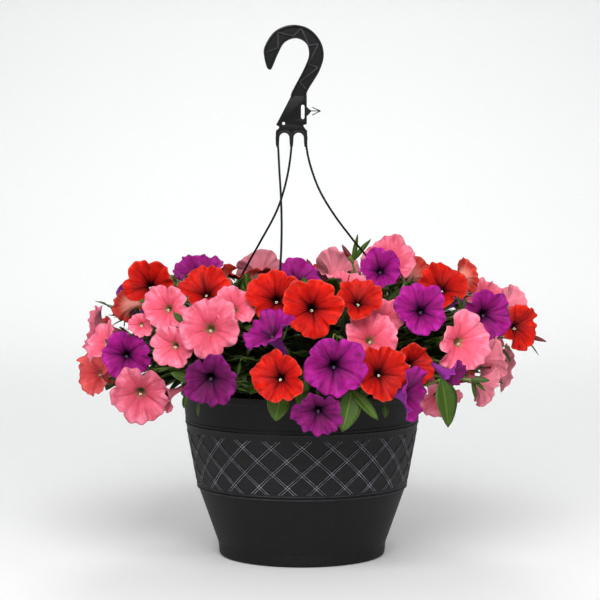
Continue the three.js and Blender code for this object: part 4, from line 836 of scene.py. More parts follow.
def crossing_studs(rise):
    """Four small round studs at each crossing, above, below and beside it. Each is a low dome of four rings:
    crossing + aside + out (cos a, sin a), raised from the wall by its lift."""
    rows = 5
    crossings = np.array([(column + 0.5 * (row % 2), FIRST_CROSSING + row * CROSSING_STEP)
                          for row in range(rows) for column in range(COLUMNS)])
    crossings = crossings[crossings[:, 1] < BAND_HIGH - 1]
    column, level = crossings.T[..., None, None, None]
    aside, above = STUD_ASIDE * np.array([(1, 0, -1, 0), (0, 1, 0, -1)])[..., None, None]
    around = np.linspace(0, TURN, 9)
    out = STUD_RADIUS * np.array([1, 0.8, 0.45, 0])[:, None]
    lift = rise * np.array([-0.15, 0.6, 0.95, 1.1])[:, None]
    height = level + above + out * np.sin(around)
    radius = band_radius(height) + lift
    return polar(radius, band_angle(column) + (aside + out * np.cos(around)) / radius, height)


def make_pot(sizes):
    """The pot's skin, its floor round the drain holes, its ears, and the band's ridges and studs."""
    pot = Shape()
    pot.add(turned(rounded(pot_profile(), 2), 288))
    for k in range(DRAINS):
        pot.add(turned_about(floor_share(), TURN * (k + 0.5) / DRAINS, DRAIN_CIRCLE))
    pot.add(turned([(BASE_RADIUS - 1, FLOOR), (BASE_RADIUS - 3, FLOOR)], 144))  # laps over the wall's foot
    for azimuth, _ in ARMS:
        pot.add(turned_about(ear_plate(), math.radians(azimuth), EAR_RADIUS))
    rise = sizes.rib_height / MM
    # the ridges and studs carry painted highlight, and the ridges painted shade at their sides
    pot.add(band_ribs(rise), worn=RIDGE_PAINTED_LIGHT)
    pot.add(crossing_studs(rise), worn=1.0)
    pot.make("pot_moulding", [pot_finish("pot_plastic", tuple(sizes.pot_color))], "pot", 40)


# Soil


def soil_finish(color):
    """Damp potting soil: dark patches and pale specks."""
    finish = Finish("potting_soil", 0.95)
    speck = finish.noise(2.2, 4).ramp(0.62, 0.72)
    skin = finish.blend(finish.noise(5, 4), color, linear(22, 14, 9))
    skin = finish.blend(speck * 0.5, skin, linear(150, 135, 115))
    finish.bump(finish.noise(1.2, 4), 0.9, 1.2)
    return finish.color(skin)


def make_soil(sizes):
    """A round body that fills the pot. Its top is raised by lumps of three sizes."""
    inset = WALL + CLEARANCE
    edge = BAND_HIGH_RADIUS - inset
    side = [(FOOT_RADIUS - inset, FOOT_HEIGHT), (BAND_LOW_RADIUS - inset, BAND_LOW), (edge, BAND_HIGH)]
    out = np.linspace(edge, 0, 40)
    crown = SOIL_TOP + np.interp(out, [0, 30, 80, edge], [-1, -0.6, 2, -3])
    bottom = FLOOR + CLEARANCE
    grid = turned([(0, bottom), (BASE_RADIUS - 1.8, bottom), *side, *zip(out, crown)], 120)
    rough = 0.9 * lumps(grid, 9) + 0.7 * lumps(grid[..., [1, 0, 2]], 3.1) + 0.5 * lumps(grid, 1.7)
    inside = np.hypot(grid[..., 0], grid[..., 1]) < edge - 1
    grid[..., 2] += rough * inside * (grid[..., 2] > BAND_HIGH + 1)
    soil = Shape()
    soil.add(grid)
    soil.make("soil_mound", [soil_finish(tuple(sizes.soil_color))], "soil")


# Hanger


def upright(flat, depth):
    """Points of the XZ plane, moved forward by depth."""
    return np.stack([flat[..., 0], -np.broadcast_to(depth, flat.shape[:-1]), flat[..., 1]], axis=-1)


def hook_grid():
    """The hook: between its back and its inside runs a section like a beam's, a thin web with a thick
    rounded edge on both sides. Returns its points and the painted highlight of each column."""
    back = curve_through(HOOK_BACK, HOOK_ROWS)
    across = curve_through(HOOK_INSIDE, HOOK_ROWS) - back
    width = np.linalg.norm(across, axis=1, keepdims=True)
    half = HOOK_THICK / 2
    edge = np.array([0, 0.25, 0.7, 1.8, 2.1, 2.3])
    depth = np.array([half - 1, half - 0.3, half, half, half - 0.3, half - 2.8])
    # painted highlight on one row of each rounded edge
    edge_painted_light = np.array([0, 0, 0.5, 0, 0, 0])
    near = np.minimum(1, width / HOOK_THICK) * edge
    reach = np.concatenate([near, width - near[:, ::-1]], axis=1) / width
    reach = np.concatenate([reach, reach[:, ::-1], reach[:, :1]], axis=1)[..., None]
    thick = np.concatenate([depth, depth[::-1]])
    thick = np.concatenate([thick, -thick[::-1], thick[:1]])
    worn = np.tile(np.concatenate([edge_painted_light, edge_painted_light[::-1]]), 2)
    grid = upright(back[:, None] + across[:, None] * reach, thick)
    return closed_ends(grid[:, ::-1]), np.append(worn, worn[0])[::-1]


def beams(starts, ends, width, thick):
    """Straight bars in the XZ plane from each start to each end, with a rectangular section."""
    along = unit(ends - starts)
    side = np.stack([-along[:, 1], along[:, 0]], axis=1)[:, None] * width / 2
    aside = np.array([1, -1, -1, 1, 1])
    ahead = np.array([1, 1, -1, -1, 1])
    rings = [upright(point[:, None] + side * aside[:, None], thick / 2 * ahead) for point in (starts, ends)]
    return np.stack([closed_ends(ring) for ring in np.stack(rings, axis=1)])


def hook_truss():
    """Thin ribs that zigzag between the hook's two edges."""
    back, inside = (curve_through(line, HOOK_ROWS)[6:104:9] for line in (HOOK_BACK, HOOK_INSIDE))
    share = np.where(np.arange(len(back)) % 2 == 0, 0.16, 0.84)[:, None]
    knots = mix(back, inside, share)
    return beams(knots[:-1], knots[1:], 1.1, HOOK_THICK - 1.2)


def neck_outlines():
    """The flat neck, its slot and its small hole; the tag's foot stands out on the right."""
    left = [(-11.4, 480), (-27, 449.8), (-24, 448.2), (-24, 446.6), (-26.6, 444)]
    right = [(4.8, 444), (2.2, 447.5), (1.4, 449.6), (5, 450.7), (5, 459), (7, 460.6), (9.4, 463.6),
             (9.4, 465.2), (7, 466.6), (5, 468.8), (5, 480)]
    slot = arc(0.8, 457.8, 1.8, 180, 360) + arc(0.8, 469, 1.8, 0, 180)
    hole = arc(-19.2, 451.4, 1.6, 0, 330, 12)
    return [left + right, slot, hole]


def tag_bars():
    """The barbed tag: a thin shaft, and two barbs that run back from its tip."""
    tip = np.array([19.2, 464.4])
    ends = np.array([(8.6, 464.4), (10.6, 468.0), (10.6, 460.0)])
    return beams(np.stack([tip] * 3), ends, 0.95, NECK_THICK - 1.4)


def prong_outline():
    """Three prongs with a small arch between each two."""
    left, right = (arc(x, ARCH_HEIGHT, radius, 180, 0) for x, radius in ARCHES)
    shoulder, end, top = 441, PRONG_END, 444.5
    return [(-27.4, shoulder), (-27.4, end), (-24.4, end), *left, (-12.4, end), (-9.6, end),
            *right, (2.6, end), (5.4, end), (5.4, top), (-27, top)]


def arch_edges():
    """A raised round edge along each arch and down its two prongs."""
    steps = 15
    radii = [1.3, 1.8, *[2.1] * steps, 1.8, 1.3]
    edges = []
    for x, radius in ARCHES:
        out = radius + 1.2
        leg = [(out, PRONG_END - 2), (out, PRONG_END + 2)]
        line = [*((x + aside, z) for aside, z in leg), *arc(x, ARCH_HEIGHT, out, 0, 180, steps),
                *((x - aside, z) for aside, z in leg[::-1])]
        edges.append(tube(upright(np.array(line), 0), radii, 10))
    return np.stack(edges)


def arm_points(azimuth, route, *heights):
    """The points that an arm runs through: its route, and the heights above and in its ear's hole."""
    x, y, _ = polar(EAR_RADIUS, math.radians(azimuth), 0)
    return [*route, *((x, y, height) for height in heights)]


def arm_grid(azimuth, route, pitch):
    """An arm: a tube whose radius swells and sinks twice round it, turned along its length as a twisted
    cord is, straight down through its ear at the end."""
    bottom = EAR_TOP - EAR_THICK - CLEARANCE - BEAD_RADIUS
    path = curve_through(arm_points(azimuth, route, ARM_STRAIGHT, EAR_TOP, bottom), 420)
    angle = np.linspace(0, TURN, 13)
    twist = TURN * lengths_along(path)[:, None] / (2 * pitch)
    return tube(path, ARM_RADIUS * (0.86 + 0.14 * np.cos(2 * (angle - twist))), 12)


def bead_grid(azimuth):
    """The bead that stops the arm below its ear: a barrel."""
    top = EAR_TOP - EAR_THICK - CLEARANCE
    share = np.linspace(0, 1, 13)
    radius = BEAD_RADIUS * np.abs(np.sin(np.pi * share)) ** 0.45
    grid = turned(np.stack([radius, top - 2 * BEAD_RADIUS * (1 - share)], axis=1), 20)
    return grid + polar(EAR_RADIUS, math.radians(azimuth), 0)


def hanger_finish(color):
    """Smooth black plastic, with painted highlights along its hook's edges, its truss and its arches."""
    finish = Finish("hanger_plastic", 0.36, Specular_IOR_Level=0.16)
    finish.bump(finish.noise(1.5, 3), 0.12, 0.2)
    # the painted highlights vary in strength in patches
    painted_light_gain = finish.noise(12, 2).ramp(0.3, 0.7, 6.0, 22.0)
    return finish.color(finish.lighten(color, finish.field("worn") * painted_light_gain + 1))


def make_hanger(sizes):
    """The hook and its truss, the neck and its tag, the prongs and their arches, the arms and their beads."""
    hanger = Shape()
    hook, hook_painted_light = hook_grid()
    # painted highlights on the hook's edges, the truss and the arches' edges
    hanger.add(hook, worn=hook_painted_light)
    hanger.add(hook_truss(), worn=1.0)
    hanger.add_faces(*plate(neck_outlines(), NECK_THICK, 0.5))
    hanger.add_faces(*plate([prong_outline()], PRONG_THICK, 0.6))
    hanger.add(tag_bars())
    hanger.add(arch_edges(), worn=0.25)
    for azimuth, route in ARMS:
        hanger.add(arm_grid(azimuth, route, sizes.cord_pitch / MM))
        hanger.add(bead_grid(azimuth))
    hanger.make("hanger_moulding", [hanger_finish(tuple(sizes.hanger_color))], "hanger", 35)


# Blooms


def lobe(angle, phase):
    """How far the rim stands out, as a share of the radius: five lobes with a notch between each two, and two
    slow waves that make each bloom a little uneven."""
    share = np.abs(np.sin(PETAL_COUNT / 2 * angle)) ** 0.7
    return 0.89 + 0.12 * share + 0.04 * np.sin(2 * angle + 5 * phase) + 0.03 * np.sin(3 * angle + 9 * phase)


def wave(angle, phase):
    """How far the rim stands forward, as a share of the radius."""
    share = np.abs(np.sin(PETAL_COUNT / 2 * angle))
    return 0.05 - 0.1 * share + 0.07 * np.cos(2 * angle + 7 * phase) + 0.05 * np.cos(3 * angle + 4 * phase)


def dome_radius(level):
    """The dome of the blooms' faces, at a height above the rim."""
    share = np.abs(level - DOME_MIDDLE) / np.where(level > DOME_MIDDLE, DOME_RISE, DOME_DROP)
    return DOME_RADIUS * np.maximum(0, 1 - share ** DOME_POWER) ** (1 / DOME_POWER)


def solid_points(node):
    """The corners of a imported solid, in millimetres, each once."""
    points = read(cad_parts[node].data.vertices, "co", 3) / MM
    return np.unique(np.round(points, 3), axis=0)


class Bloom:
    """One flower of the plan: its size, its axes and the place of its face."""

    def __init__(self, order, row):
        self.node, azimuth, level, wide, turn, tilt, roll, *out = row
        turn, tilt, roll = np.radians([turn, tilt, roll])
        self.radius = wide / 2
        self.phase = order * PHASE_STEP % 1
        # painted shade: a bloom that looks down is darkened in colour
        hanging_shade = min(0.9, 2.6 * max(0, -math.sin(tilt)))
        self.tint = 0.35 + 0.5 * self.phase - hanging_shade  # darker where it looks down
        self.forward = polar(math.cos(tilt), turn - math.pi / 2, math.sin(tilt))
        right = polar(1, turn, 0)
        up = np.cross(self.forward, right)
        self.right = right * math.cos(roll) + up * math.sin(roll)
        self.up = up * math.cos(roll) - right * math.sin(roll)
        distance = out[0] if out else dome_radius(level)
        self.place = polar(distance, math.radians(azimuth), POT_HEIGHT + level)

    def put(self, reach, angle, ahead):
        """place + right reach cos a + up reach sin a + forward ahead."""
        reach, angle, ahead = (v[..., None] for v in np.broadcast_arrays(reach, angle, ahead))
        across = self.right * reach * np.cos(angle) + self.up * reach * np.sin(angle)
        return self.place + across + self.forward * ahead

    def plain_rings(self):
        """The corners of the bloom's plain solid: the tube's two ends, then for the front and the back a ring
        halfway out and the rim, and last the bottom of the throat."""
        radius = self.radius
        petals = TURN / PETAL_COUNT * np.arange(PETAL_COUNT)
        middles = petals + TURN / PETAL_COUNT / 2
        rim = (petals[:, None] + np.radians([0, 23, 49])).ravel()
        ahead = radius * (0.35 * wave(middles, self.phase) - 0.17)
        edge = radius * wave(rim, self.phase)
        rings = [self.put(TUBE_END, petals, -TUBE_LENGTH * radius)]
        rings.append(self.put(0.19 * radius, petals, -0.8 * radius))
        for lift in (0, -0.9):
            rings.append(self.put(0.52 * radius, middles, ahead + lift))
            rings.append(self.put(radius * lobe(rim, self.phase), rim, edge + lift))
        return np.vstack([*rings, self.put(0, 0, -0.6 * radius)[None]])

    def settle(self, corners):
        """Moves the bloom to where it stands in its solid: by the shift that takes most of the corners of
        its own rings onto corners of the solid."""
        shifts = (corners[None] - self.plain_rings()[:, None]).reshape(-1, 3)
        cells, votes = np.unique(np.round(shifts / VOTE_CELL).astype(int), axis=0, return_counts=True)
        if votes.max() < FEWEST_VOTES:
            return
        best = cells[np.argmax(votes)] * VOTE_CELL
        self.place = self.place + shifts[np.abs(shifts - best).max(axis=1) < VOTE_CELL].mean(axis=0)

    def tube_end(self, gap):
        """The point this far behind the end of the bloom's tube."""
        return self.place - self.forward * (TUBE_LENGTH * self.radius + gap)


def waves(angle, phase, orders):
    """The sum of one sine wave for each order, all out of step with each other in each bloom."""
    return sum(np.sin(n * angle + 7.3 * n * n * phase + n) for n in orders) / math.sqrt(len(orders))


def bloom_grid(bloom, ruffle):
    """A trumpet: at a share s of the way out and an angle a, reach is R s (1 + edge(a) grow(s)) and ahead is
    R (wave(a) s^1.6 - depth(s) + ruffles + creases), first over the front and then down the back to the tube.
    Broad ruffles grow as s^2 and fine ones as s^5; a groove runs down each petal's middle, a fold stands up
    between each two, and each half petal bulges a little. A bloom that faces aside or back is smoother.
    Returns the points, the map values, and for each row 0 on the front and 1 on the back."""
    front = curve_through(FRONT_PROFILE, 16)
    back = curve_through([*BACK_PROFILE, (TUBE_END / bloom.radius, TUBE_LENGTH)], 12)
    share, depth = np.vstack([front, back]).T[:, :, None]
    behind = np.concatenate([np.zeros(len(front)), np.ones(len(back))])[:, None]
    angle = np.linspace(TURN, 0, 101)[None]
    phase = bloom.phase
    petal_middle = np.exp(-(np.cos(PETAL_COUNT / 2 * angle) / 0.24) ** 2)
    notch = np.exp(-(np.sin(PETAL_COUNT / 2 * angle) / 0.2) ** 2)
    facing = mix(0.45, 1, max(0, -bloom.forward[1]))
    edge = lobe(angle, phase) - 1 + facing * (0.036 * waves(angle, phase, (4, 6, 9, 14)) - 0.06 * notch)
    edge = edge + 0.04 * waves(angle, phase, (1, 2, 3)) - 0.03 * petal_middle
    grow = np.clip((share - 0.3) / 0.7, 0, 1) ** 1.5
    broad = waves(angle, phase, (3, 4, 7, 8)) * share ** 2
    fine = waves(angle, phase, (10, 13, 17)) * share ** 5
    lift = wave(angle, phase) * share ** 1.6 - depth + ruffle * facing * (broad + fine)
    lift = lift - 0.1 * petal_middle * share * (1.25 - share) + 0.08 * facing * notch * share * share
    lift = lift + 0.06 * np.abs(np.sin(PETAL_COUNT * angle)) ** 0.7 * share * (1.1 - share)
    reach = bloom.radius * share * (1 + edge * grow)
    grid = bloom.put(reach, angle, bloom.radius * lift - PETAL_THICK * behind)
    chart = np.stack(np.broadcast_arrays(angle / TURN, share), axis=-1)
    pole = np.broadcast_to(bloom.tube_end(0), grid[:1].shape)
    return np.concatenate([grid, pole]), np.concatenate([chart, chart[-1:]]), np.append(behind, [[1]], axis=0)


def anthers(bloom):
    """A cluster of five small grains low in the throat: each a ball, drawn out a little forward."""
    count, spread, radius = 5, 0.95, 0.62
    around = TURN * (np.arange(count) / count + bloom.phase)[:, None]
    down = unit(bloom.forward * bloom.forward[2] - (0, 0, 1))
    middle = bloom.place + bloom.radius * (0.075 * down - 0.42 * bloom.forward)
    centres = middle + spread * (np.cos(around) * bloom.right + np.sin(around) * bloom.up)
    centres = centres + 0.9 * (np.arange(count)[:, None] % 3 - 1) * bloom.forward
    pitch = np.linspace(0, math.pi, 6)[:, None, None]
    angle = np.linspace(0, TURN, 8)[:, None]
    across = np.sin(pitch) * (np.cos(angle) * bloom.right + np.sin(angle) * bloom.up)
    return centres[:, None, None] + radius * (across - 1.2 * np.cos(pitch) * bloom.forward)


def petal_finishes(sizes):
    """One finish for each colour of bloom."""
    made = {}
    for color, (*tones, veining) in PETALS.items():
        face = tuple(getattr(sizes, color))
        made[color] = petal_finish(f"{color}_petals", face, *(linear(*tone) for tone in tones), veining)
    return made


def planned_blooms():
    """Every bloom of the plan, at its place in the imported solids."""
    blooms = [Bloom(order, row) for order, row in enumerate(BLOOMS)]
    corners = {node: solid_points(node) for node in {bloom.node for bloom in blooms}}
    for bloom in blooms:
        bloom.settle(corners[bloom.node])
    return blooms


def make_blooms(sizes, blooms):
    """One piece for each node of blooms: the trumpets and the grains in their throats."""
    finishes = petal_finishes(sizes)
    pollen = plain_finish("pollen", linear(240, 232, 204), 0.8)
    dark_pollen = plain_finish("dark_pollen", linear(96, 84, 110), 0.8)
    for node in dict.fromkeys(bloom.node for bloom in blooms):
        color = node.split("_")[1]
        shape = Shape()
        for bloom in [b for b in blooms if b.node == node]:
            grid, chart, back = bloom_grid(bloom, sizes.ruffle)
            shape.add(grid, PETAL, chart, back=back, tint=np.where(back > 0, bloom.phase, bloom.tint))
            shape.add(anthers(bloom), GRAIN)
        grains = dark_pollen if color == "purple" else pollen
        shape.make(f"{node}_petals", [finishes[color], grains], node)


# Shoots


def core_radius(level):
    """The crown's radius at a height above the rim."""
    return CORE_RADIUS * np.sqrt(np.maximum(0, 1 - ((level - DOME_MIDDLE) / CORE_HALF) ** 2))


def sector(shoot):
    """The two directions between which a shoot's crown lies."""
    return FIRST_SECTOR + TURN / SHOOTS * shoot, FIRST_SECTOR + TURN / SHOOTS * (shoot + 1)


def shoot_of(point):
    """Which shoot carries a point, by its direction from the axis."""
    return math.floor((math.atan2(point[1], point[0]) - FIRST_SECTOR) / (TURN / SHOOTS)) % SHOOTS


def crown_root(point, shoot):
    """Where in the crown the stalk to a point is rooted, and the way straight out from there."""
    middle = sum(sector(shoot)) / 2
    turn = math.atan2(point[1], point[0]) - middle
    off = math.atan2(math.sin(turn), math.cos(turn))
    direction = middle + min(max(off, -ROOT_SWING), ROOT_SWING)
    level = min(max(0.5 * (point[2] - POT_HEIGHT) + 15, 20), 58)
    return polar(ROOT_DEPTH * core_radius(level), direction, POT_HEIGHT + level), polar(1, direction, 0)


def bulges():
    """The ways that a stalk may bend aside, in the order of the part's source."""
    steps = (-1, 0, 1)
    ways = [(x, y, z) for x in steps for y in steps for z in steps if (x, y, z) != (0, 0, 0)]
    ways = unit(np.array(ways, float))
    return np.vstack([np.zeros((1, 3)), *[ways * size for size in (8, 16, 26, 38, 52)]])


def bezier(root, first, second, end, t):
    """The cubic (1-t)^3 root + 3 (1-t)^2 t first + 3 (1-t) t^2 second + t^3 end."""
    t = t[:, None]
    return (1 - t) ** 3 * root + 3 * (1 - t) ** 2 * t * first + 3 * (1 - t) * t * t * second + t ** 3 * end


def plain_ring(root, middle, end):
    """The three corners of a plain stalk's middle ring."""
    normal = np.array([0.3, 0.5, 0.8])
    for way in (unit(middle - root), unit(end - root)):
        normal = unit(normal - way * (normal @ way))
    side = np.cross(way, normal)
    angle = TURN / 3 * np.arange(3)[:, None]
    return middle + STALK_RADIUS * (normal * np.cos(angle) + side * np.sin(angle))


def gaps_to(corners, points):
    """Each point's distance from the nearest of the solid's corners."""
    return np.linalg.norm(points[:, None] - corners[None], axis=2).min(axis=1)


def best_match(corners, rings):
    """The number of the ring whose points all lie nearest to corners of the solid, or 0 if none is there."""
    misses = [gaps_to(corners, ring).max() for ring in rings]
    best = int(np.argmin(misses))
    return best if misses[best] < MATCH else 0


def stalk_path(root, outward, neck, forward, bulge):
    """A stalk's curve: it leaves the crown straight out, and comes into the calyx from behind."""
    reach = np.linalg.norm(neck - root)
    first = root + outward * 0.3 * reach + bulge
    second = neck - forward * 0.35 * reach + bulge
    return bezier(root, first, second, neck, np.linspace(0, 1, 201))


def bloom_stalk(bloom, shoot, corners):
    """The stalk's path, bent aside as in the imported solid, whose middle ring tells which way it goes."""
    neck = bloom.tube_end(CLEARANCE + CALYX_LENGTH)
    root, outward = crown_root(neck, shoot)
    paths = [stalk_path(root, outward, neck, bloom.forward, bulge) for bulge in bulges()]
    rings = [plain_ring(root, spaced(path, 3)[1], neck) for path in paths]
    return spaced(paths[best_match(corners, rings)], STALK_ROWS)


def twig_stalk(point, shoot, corners):
    """The same for a twig, whose curve has one point between its ends."""
    root, outward = crown_root(point, shoot)
    middles = mix(root, point, 0.5) + outward * 0.12 * np.linalg.norm(point - root) + bulges()
    rings = [plain_ring(root, middle, point) for middle in middles]
    return curve_through([root, middles[best_match(corners, rings)], point], STALK_ROWS)


def blades(root, along, face, length, wide, droop, stalk=0.16, rows=11, columns=7, wavy=0.05):
    """Leaves: at a share s of the length and w across, root + along s L - top droop L s^2 + side w half(s),
    folded up by a quarter of |w| half(s), with waves along the edges. half(s) is a stalk's, and from there an
    egg-shaped blade's. The upper skin and the lower one meet at the edge. Returns points and map values."""
    root, along, face = (np.atleast_2d(v)[:, None, None] for v in (root, along, face))
    length, wide, droop = (np.broadcast_to(v, len(root)).reshape(-1, 1, 1, 1) for v in (length, wide, droop))
    side = unit(np.cross(face, along))
    top = np.cross(along, side)
    s = np.linspace(0, 1, rows)[None, :, None, None]
    w = np.linspace(-1, 1, columns)[None, None, :, None]
    between_ends = (s > 0) * (s < 1)
    blade = np.clip((s - stalk) / (1 - stalk), 0, 1)
    half = wide / 2 * 1.08 * np.sin(np.pi * blade ** 0.85) ** 0.72 * (1 - 0.15 * blade)
    half = np.maximum(half, np.where(s < stalk + 0.02, LEAF_STALK_HALF_WIDTH, half)) * between_ends
    seed = length * 7.3 + wide * 3.1
    rib = root + along * s * length - top * droop * length * s * s
    curl = wavy * length * w * w * np.sin(7 * s + seed) + 0.03 * length * w * np.sin(5 * s + 2 * seed)
    middle = rib + side * w * half + top * (0.26 * np.abs(w) * half + curl * blade * (1 - blade) * 2)
    thick = top * np.where(s < stalk, 0.8, 0.38) * (1 - w * w) ** 0.5 * between_ends
    skin = np.concatenate([middle + thick, (middle - thick)[:, :, -2::-1]], axis=2)
    across = np.concatenate([w, w[:, :, -2::-1]], axis=2)[..., 0] / 2 + 0.5
    chart = np.stack(np.broadcast_arrays(across, s[..., 0]), axis=-1)
    return skin[:, :, ::-1], chart[:, :, ::-1]


def leaf_choices(shoot):
    """The places that a leaf of the part's source may grow from: root, along, length, width and droop."""
    start, end = sector(shoot)
    steps = (np.arange(LEAF_TRIES) + 1 + 7 * shoot)[:, None] * GOLDEN[:3] % 1
    turn, rise, sway = steps.T
    direction = mix(start + 0.12, end - 0.12, turn)
    level = mix(CORE_LOW + 3, CORE_TOP - 6, rise)
    root = polar(core_radius(level) - LEAF_SINK, direction, POT_HEIGHT + level)
    along = unit(polar(1, direction + mix(-0.35, 0.35, sway), mix(-0.35, 1.1, rise)))
    length = np.clip(dome_radius(level) * 0.97 - core_radius(level), 45, 95)
    return root, along, length, mix(24, 32, sway), mix(0.05, 0.3, turn)


def add_plain_leaves(shape, shoot, corners):
    """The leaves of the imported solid: those choices whose tip is one of its corners."""
    root, along, length, wide, droop = leaf_choices(shoot)
    up = np.array([0, 0, 1.0])
    top = np.cross(along, unit(np.cross(up, along)))
    tips = root + along * length[:, None] - top * (droop * length)[:, None]
    there = gaps_to(corners, tips) < MATCH
    face = np.broadcast_to(up, along.shape)
    grid, chart = blades(*(v[there] for v in (root, along, face, length, wide, droop)))
    tint = (np.arange(there.sum()) * 0.37 % 1)[:, None, None]
    # painted shade: these leaves are half darkened
    shape.add(grid, LEAF, chart, tint=0.3 + 0.5 * tint, shade=0.5)


def clear_of_blooms(points, blooms):
    """Whether no point of each group is in a bloom, close behind its face, or in front of it."""
    clear = np.ones(len(points), bool)
    for bloom in blooms:
        away = points - bloom.place
        ahead = away @ bloom.forward
        out = np.sqrt(np.maximum(0, (away ** 2).sum(axis=-1) - ahead ** 2))
        radius = bloom.radius
        skin = -0.34 * radius * (1 - np.clip(out / radius, 0, 1)) ** 1.2 - BLOOM_CLEARANCE
        before = (out < radius * 1.02) & (ahead > skin) & (ahead < VIEW_DEPTH)
        throat = (out < 6 + 0.2 * radius) & (ahead > -TUBE_LENGTH * radius) & (ahead <= 0)
        clear &= ~(before | throat).any(axis=1)
    return clear


def clear_of_arms(points):
    """Whether every point of each group is clear of the lower half of the hanger's arms."""
    clear = np.ones(len(points), bool)
    for azimuth, route in ARMS:
        path = curve_through(arm_points(azimuth, route, ARM_STRAIGHT, EAR_TOP), 60)[30:]
        gaps = np.linalg.norm(points[:, :, None] - path[None, None], axis=-1)
        clear &= gaps.min(axis=(1, 2)) > ARM_CLEARANCE
    return clear


def add_crown_leaves(shape, shoot, blooms, count):
    """Leaves that clothe the crown: half lie along it like shingles, and half stand out from it between the
    blooms. Their places are spread by golden steps, and those that would meet a bloom are left out."""
    start, end = sector(shoot)
    turn, rise, sway, size = ((np.arange(count * 2) + 1 + 13 * shoot)[:, None] * GOLDEN % 1).T
    outer = np.arange(count * 2) % 2 == 1
    direction = mix(start + 0.05, end - 0.05, turn)
    level = mix(CORE_LOW - 3, CORE_TOP + 4, rise)
    radius = core_radius(level) * np.where(outer, 0.96, mix(0.86, 1.0, size))
    root = polar(radius, direction, POT_HEIGHT + level)
    normal = unit(polar(radius / CORE_RADIUS ** 2, direction, (level - DOME_MIDDLE) / CORE_HALF ** 2))
    outward = polar(1, direction, 0)
    aside = polar(1, direction + math.pi / 2, 0)
    upward = np.cross(outward, aside)
    spin = (sway * TURN)[:, None]
    shingle = unit(normal * 0.35 + aside * np.cos(spin) + upward * np.sin(spin))
    standing = unit(normal * 0.9 + outward * 0.35 + aside * mix(-0.7, 0.7, sway)[:, None]
                    + upward * mix(-0.35, 0.55, size)[:, None])
    along = np.where(outer[:, None], standing, shingle)
    face = np.where(outer[:, None], unit(upward + outward * 0.7), unit(normal + upward * 0.2))
    length = np.where(outer, mix(30, 52, size), mix(36, 54, size))
    length = np.minimum(length, np.maximum(24, dome_radius(level) * 0.95 - radius))
    wide = length * mix(0.46, 0.62, turn)
    grid, chart = blades(root, along, face, length, wide, mix(0.05, 0.32, rise), rows=8, columns=5)
    samples = grid[:, ::2, ::2].reshape(len(grid), -1, 3)
    kept = clear_of_blooms(samples, blooms) & clear_of_arms(samples)
    kept &= samples[..., 2].min(axis=1) > POT_HEIGHT + 1
    tint = (turn * 0.6 + size * 0.4)[kept, None, None]
    # painted shade: leaves that lie along the crown are darkest, and small standing ones darker than large
    shade = np.where(outer, mix(0.75, 0.25, size), 0.95)[kept, None, None]
    shape.add(grid[kept], LEAF, chart, tint=tint, shade=shade)


def sprig_path(steps, start, end):
    """A young stem's curve from inside the crown towards the dome, from its four golden steps."""
    turn, rise, sway, size = steps
    direction = mix(start + 0.08, end - 0.08, turn)
    low, high = mix(14, 56, rise), mix(2, 112, rise)
    root = polar(0.8 * core_radius(low), direction, POT_HEIGHT + low)
    tip_radius = mix(0.72, 0.97, size) * dome_radius(high)
    tip = polar(tip_radius, direction + mix(-0.22, 0.22, sway), POT_HEIGHT + high)
    reach = np.linalg.norm(tip - root)
    first = root + polar(1, direction, 0.2) * 0.4 * reach
    second = tip - [0, 0, mix(-0.3, 0.3, sway) * reach]
    return bezier(root, first, second, tip, np.linspace(0, 1, 16))


def sprig_leaves(path, size):
    """Three pairs of small leaves along a young stem, and one at its tip."""
    knots = np.array([7, 7, 10, 10, 13, 13, 15])
    hands = np.array([1, -1, 1, -1, 1, -1, 0])[:, None]
    up = [0, 0, 1.0]
    way = unit(path[np.minimum(knots + 1, 15)] - path[knots - 1])
    along = unit(way * 0.8 + unit(np.cross(way, up)) * hands + [0, 0, 0.15])
    face = unit(np.cross(np.cross(along, up), along))
    length = np.array([22, 20, 19, 21, 15, 14, 17]) * mix(0.8, 1.25, size)
    return blades(path[knots], along, face, length, length * 0.42, 0.15, rows=7, columns=3)


def add_sprigs(shape, shoot, blooms, count):
    """Young stems that arch out of the crown between the blooms, each with pairs of small leaves and one at
    its tip. Their places are spread by golden steps, and those that would meet a bloom are left out."""
    for steps in (np.arange(count) + 5 + 11 * shoot)[:, None] * GOLDEN % 1:
        size = steps[-1]
        path = sprig_path(steps, *sector(shoot))
        if not (clear_of_blooms(path[None, 5:], blooms) & clear_of_arms(path[None])).all():
            continue
        shape.add(tube(path, np.linspace(1.1, 0.7, len(path)), 6), STEM)
        grid, chart = sprig_leaves(path, size)
        clear = clear_of_blooms(grid.reshape(len(grid), -1, 3), blooms)
        # painted shade: sprigs that end deeper in the crown have darker leaves
        shape.add(grid[clear], LEAF, chart, tint=0.7, shade=mix(0.7, 0.2, size))


def add_crown_heart(shape, shoot):
    """The middle of the crown, dark as painted shade: a lumpy egg in each sector, middle + outward cos p cos
    a
    + aside cos p sin a + up sin p."""
    direction = sum(sector(shoot)) / 2
    pitch = np.linspace(-math.pi / 2, math.pi / 2, 15)[:, None, None]
    angle = np.linspace(0, TURN, 25)[:, None]
    middle = polar(HEART_OUT, direction, POT_HEIGHT + HEART_LEVEL)
    outward = polar(HEART_HALVES[0], direction, 0) * np.cos(pitch) * np.cos(angle)
    aside = polar(HEART_HALVES[1], direction + math.pi / 2, 0) * np.cos(pitch) * np.sin(angle)
    grid = middle + outward + aside + np.array([0, 0, HEART_HALVES[2]]) * np.sin(pitch)
    grid = grid + unit(grid - middle) * 4 * lumps(grid, 9)[..., None]
    shape.add(grid, HEART, shade=1.0)


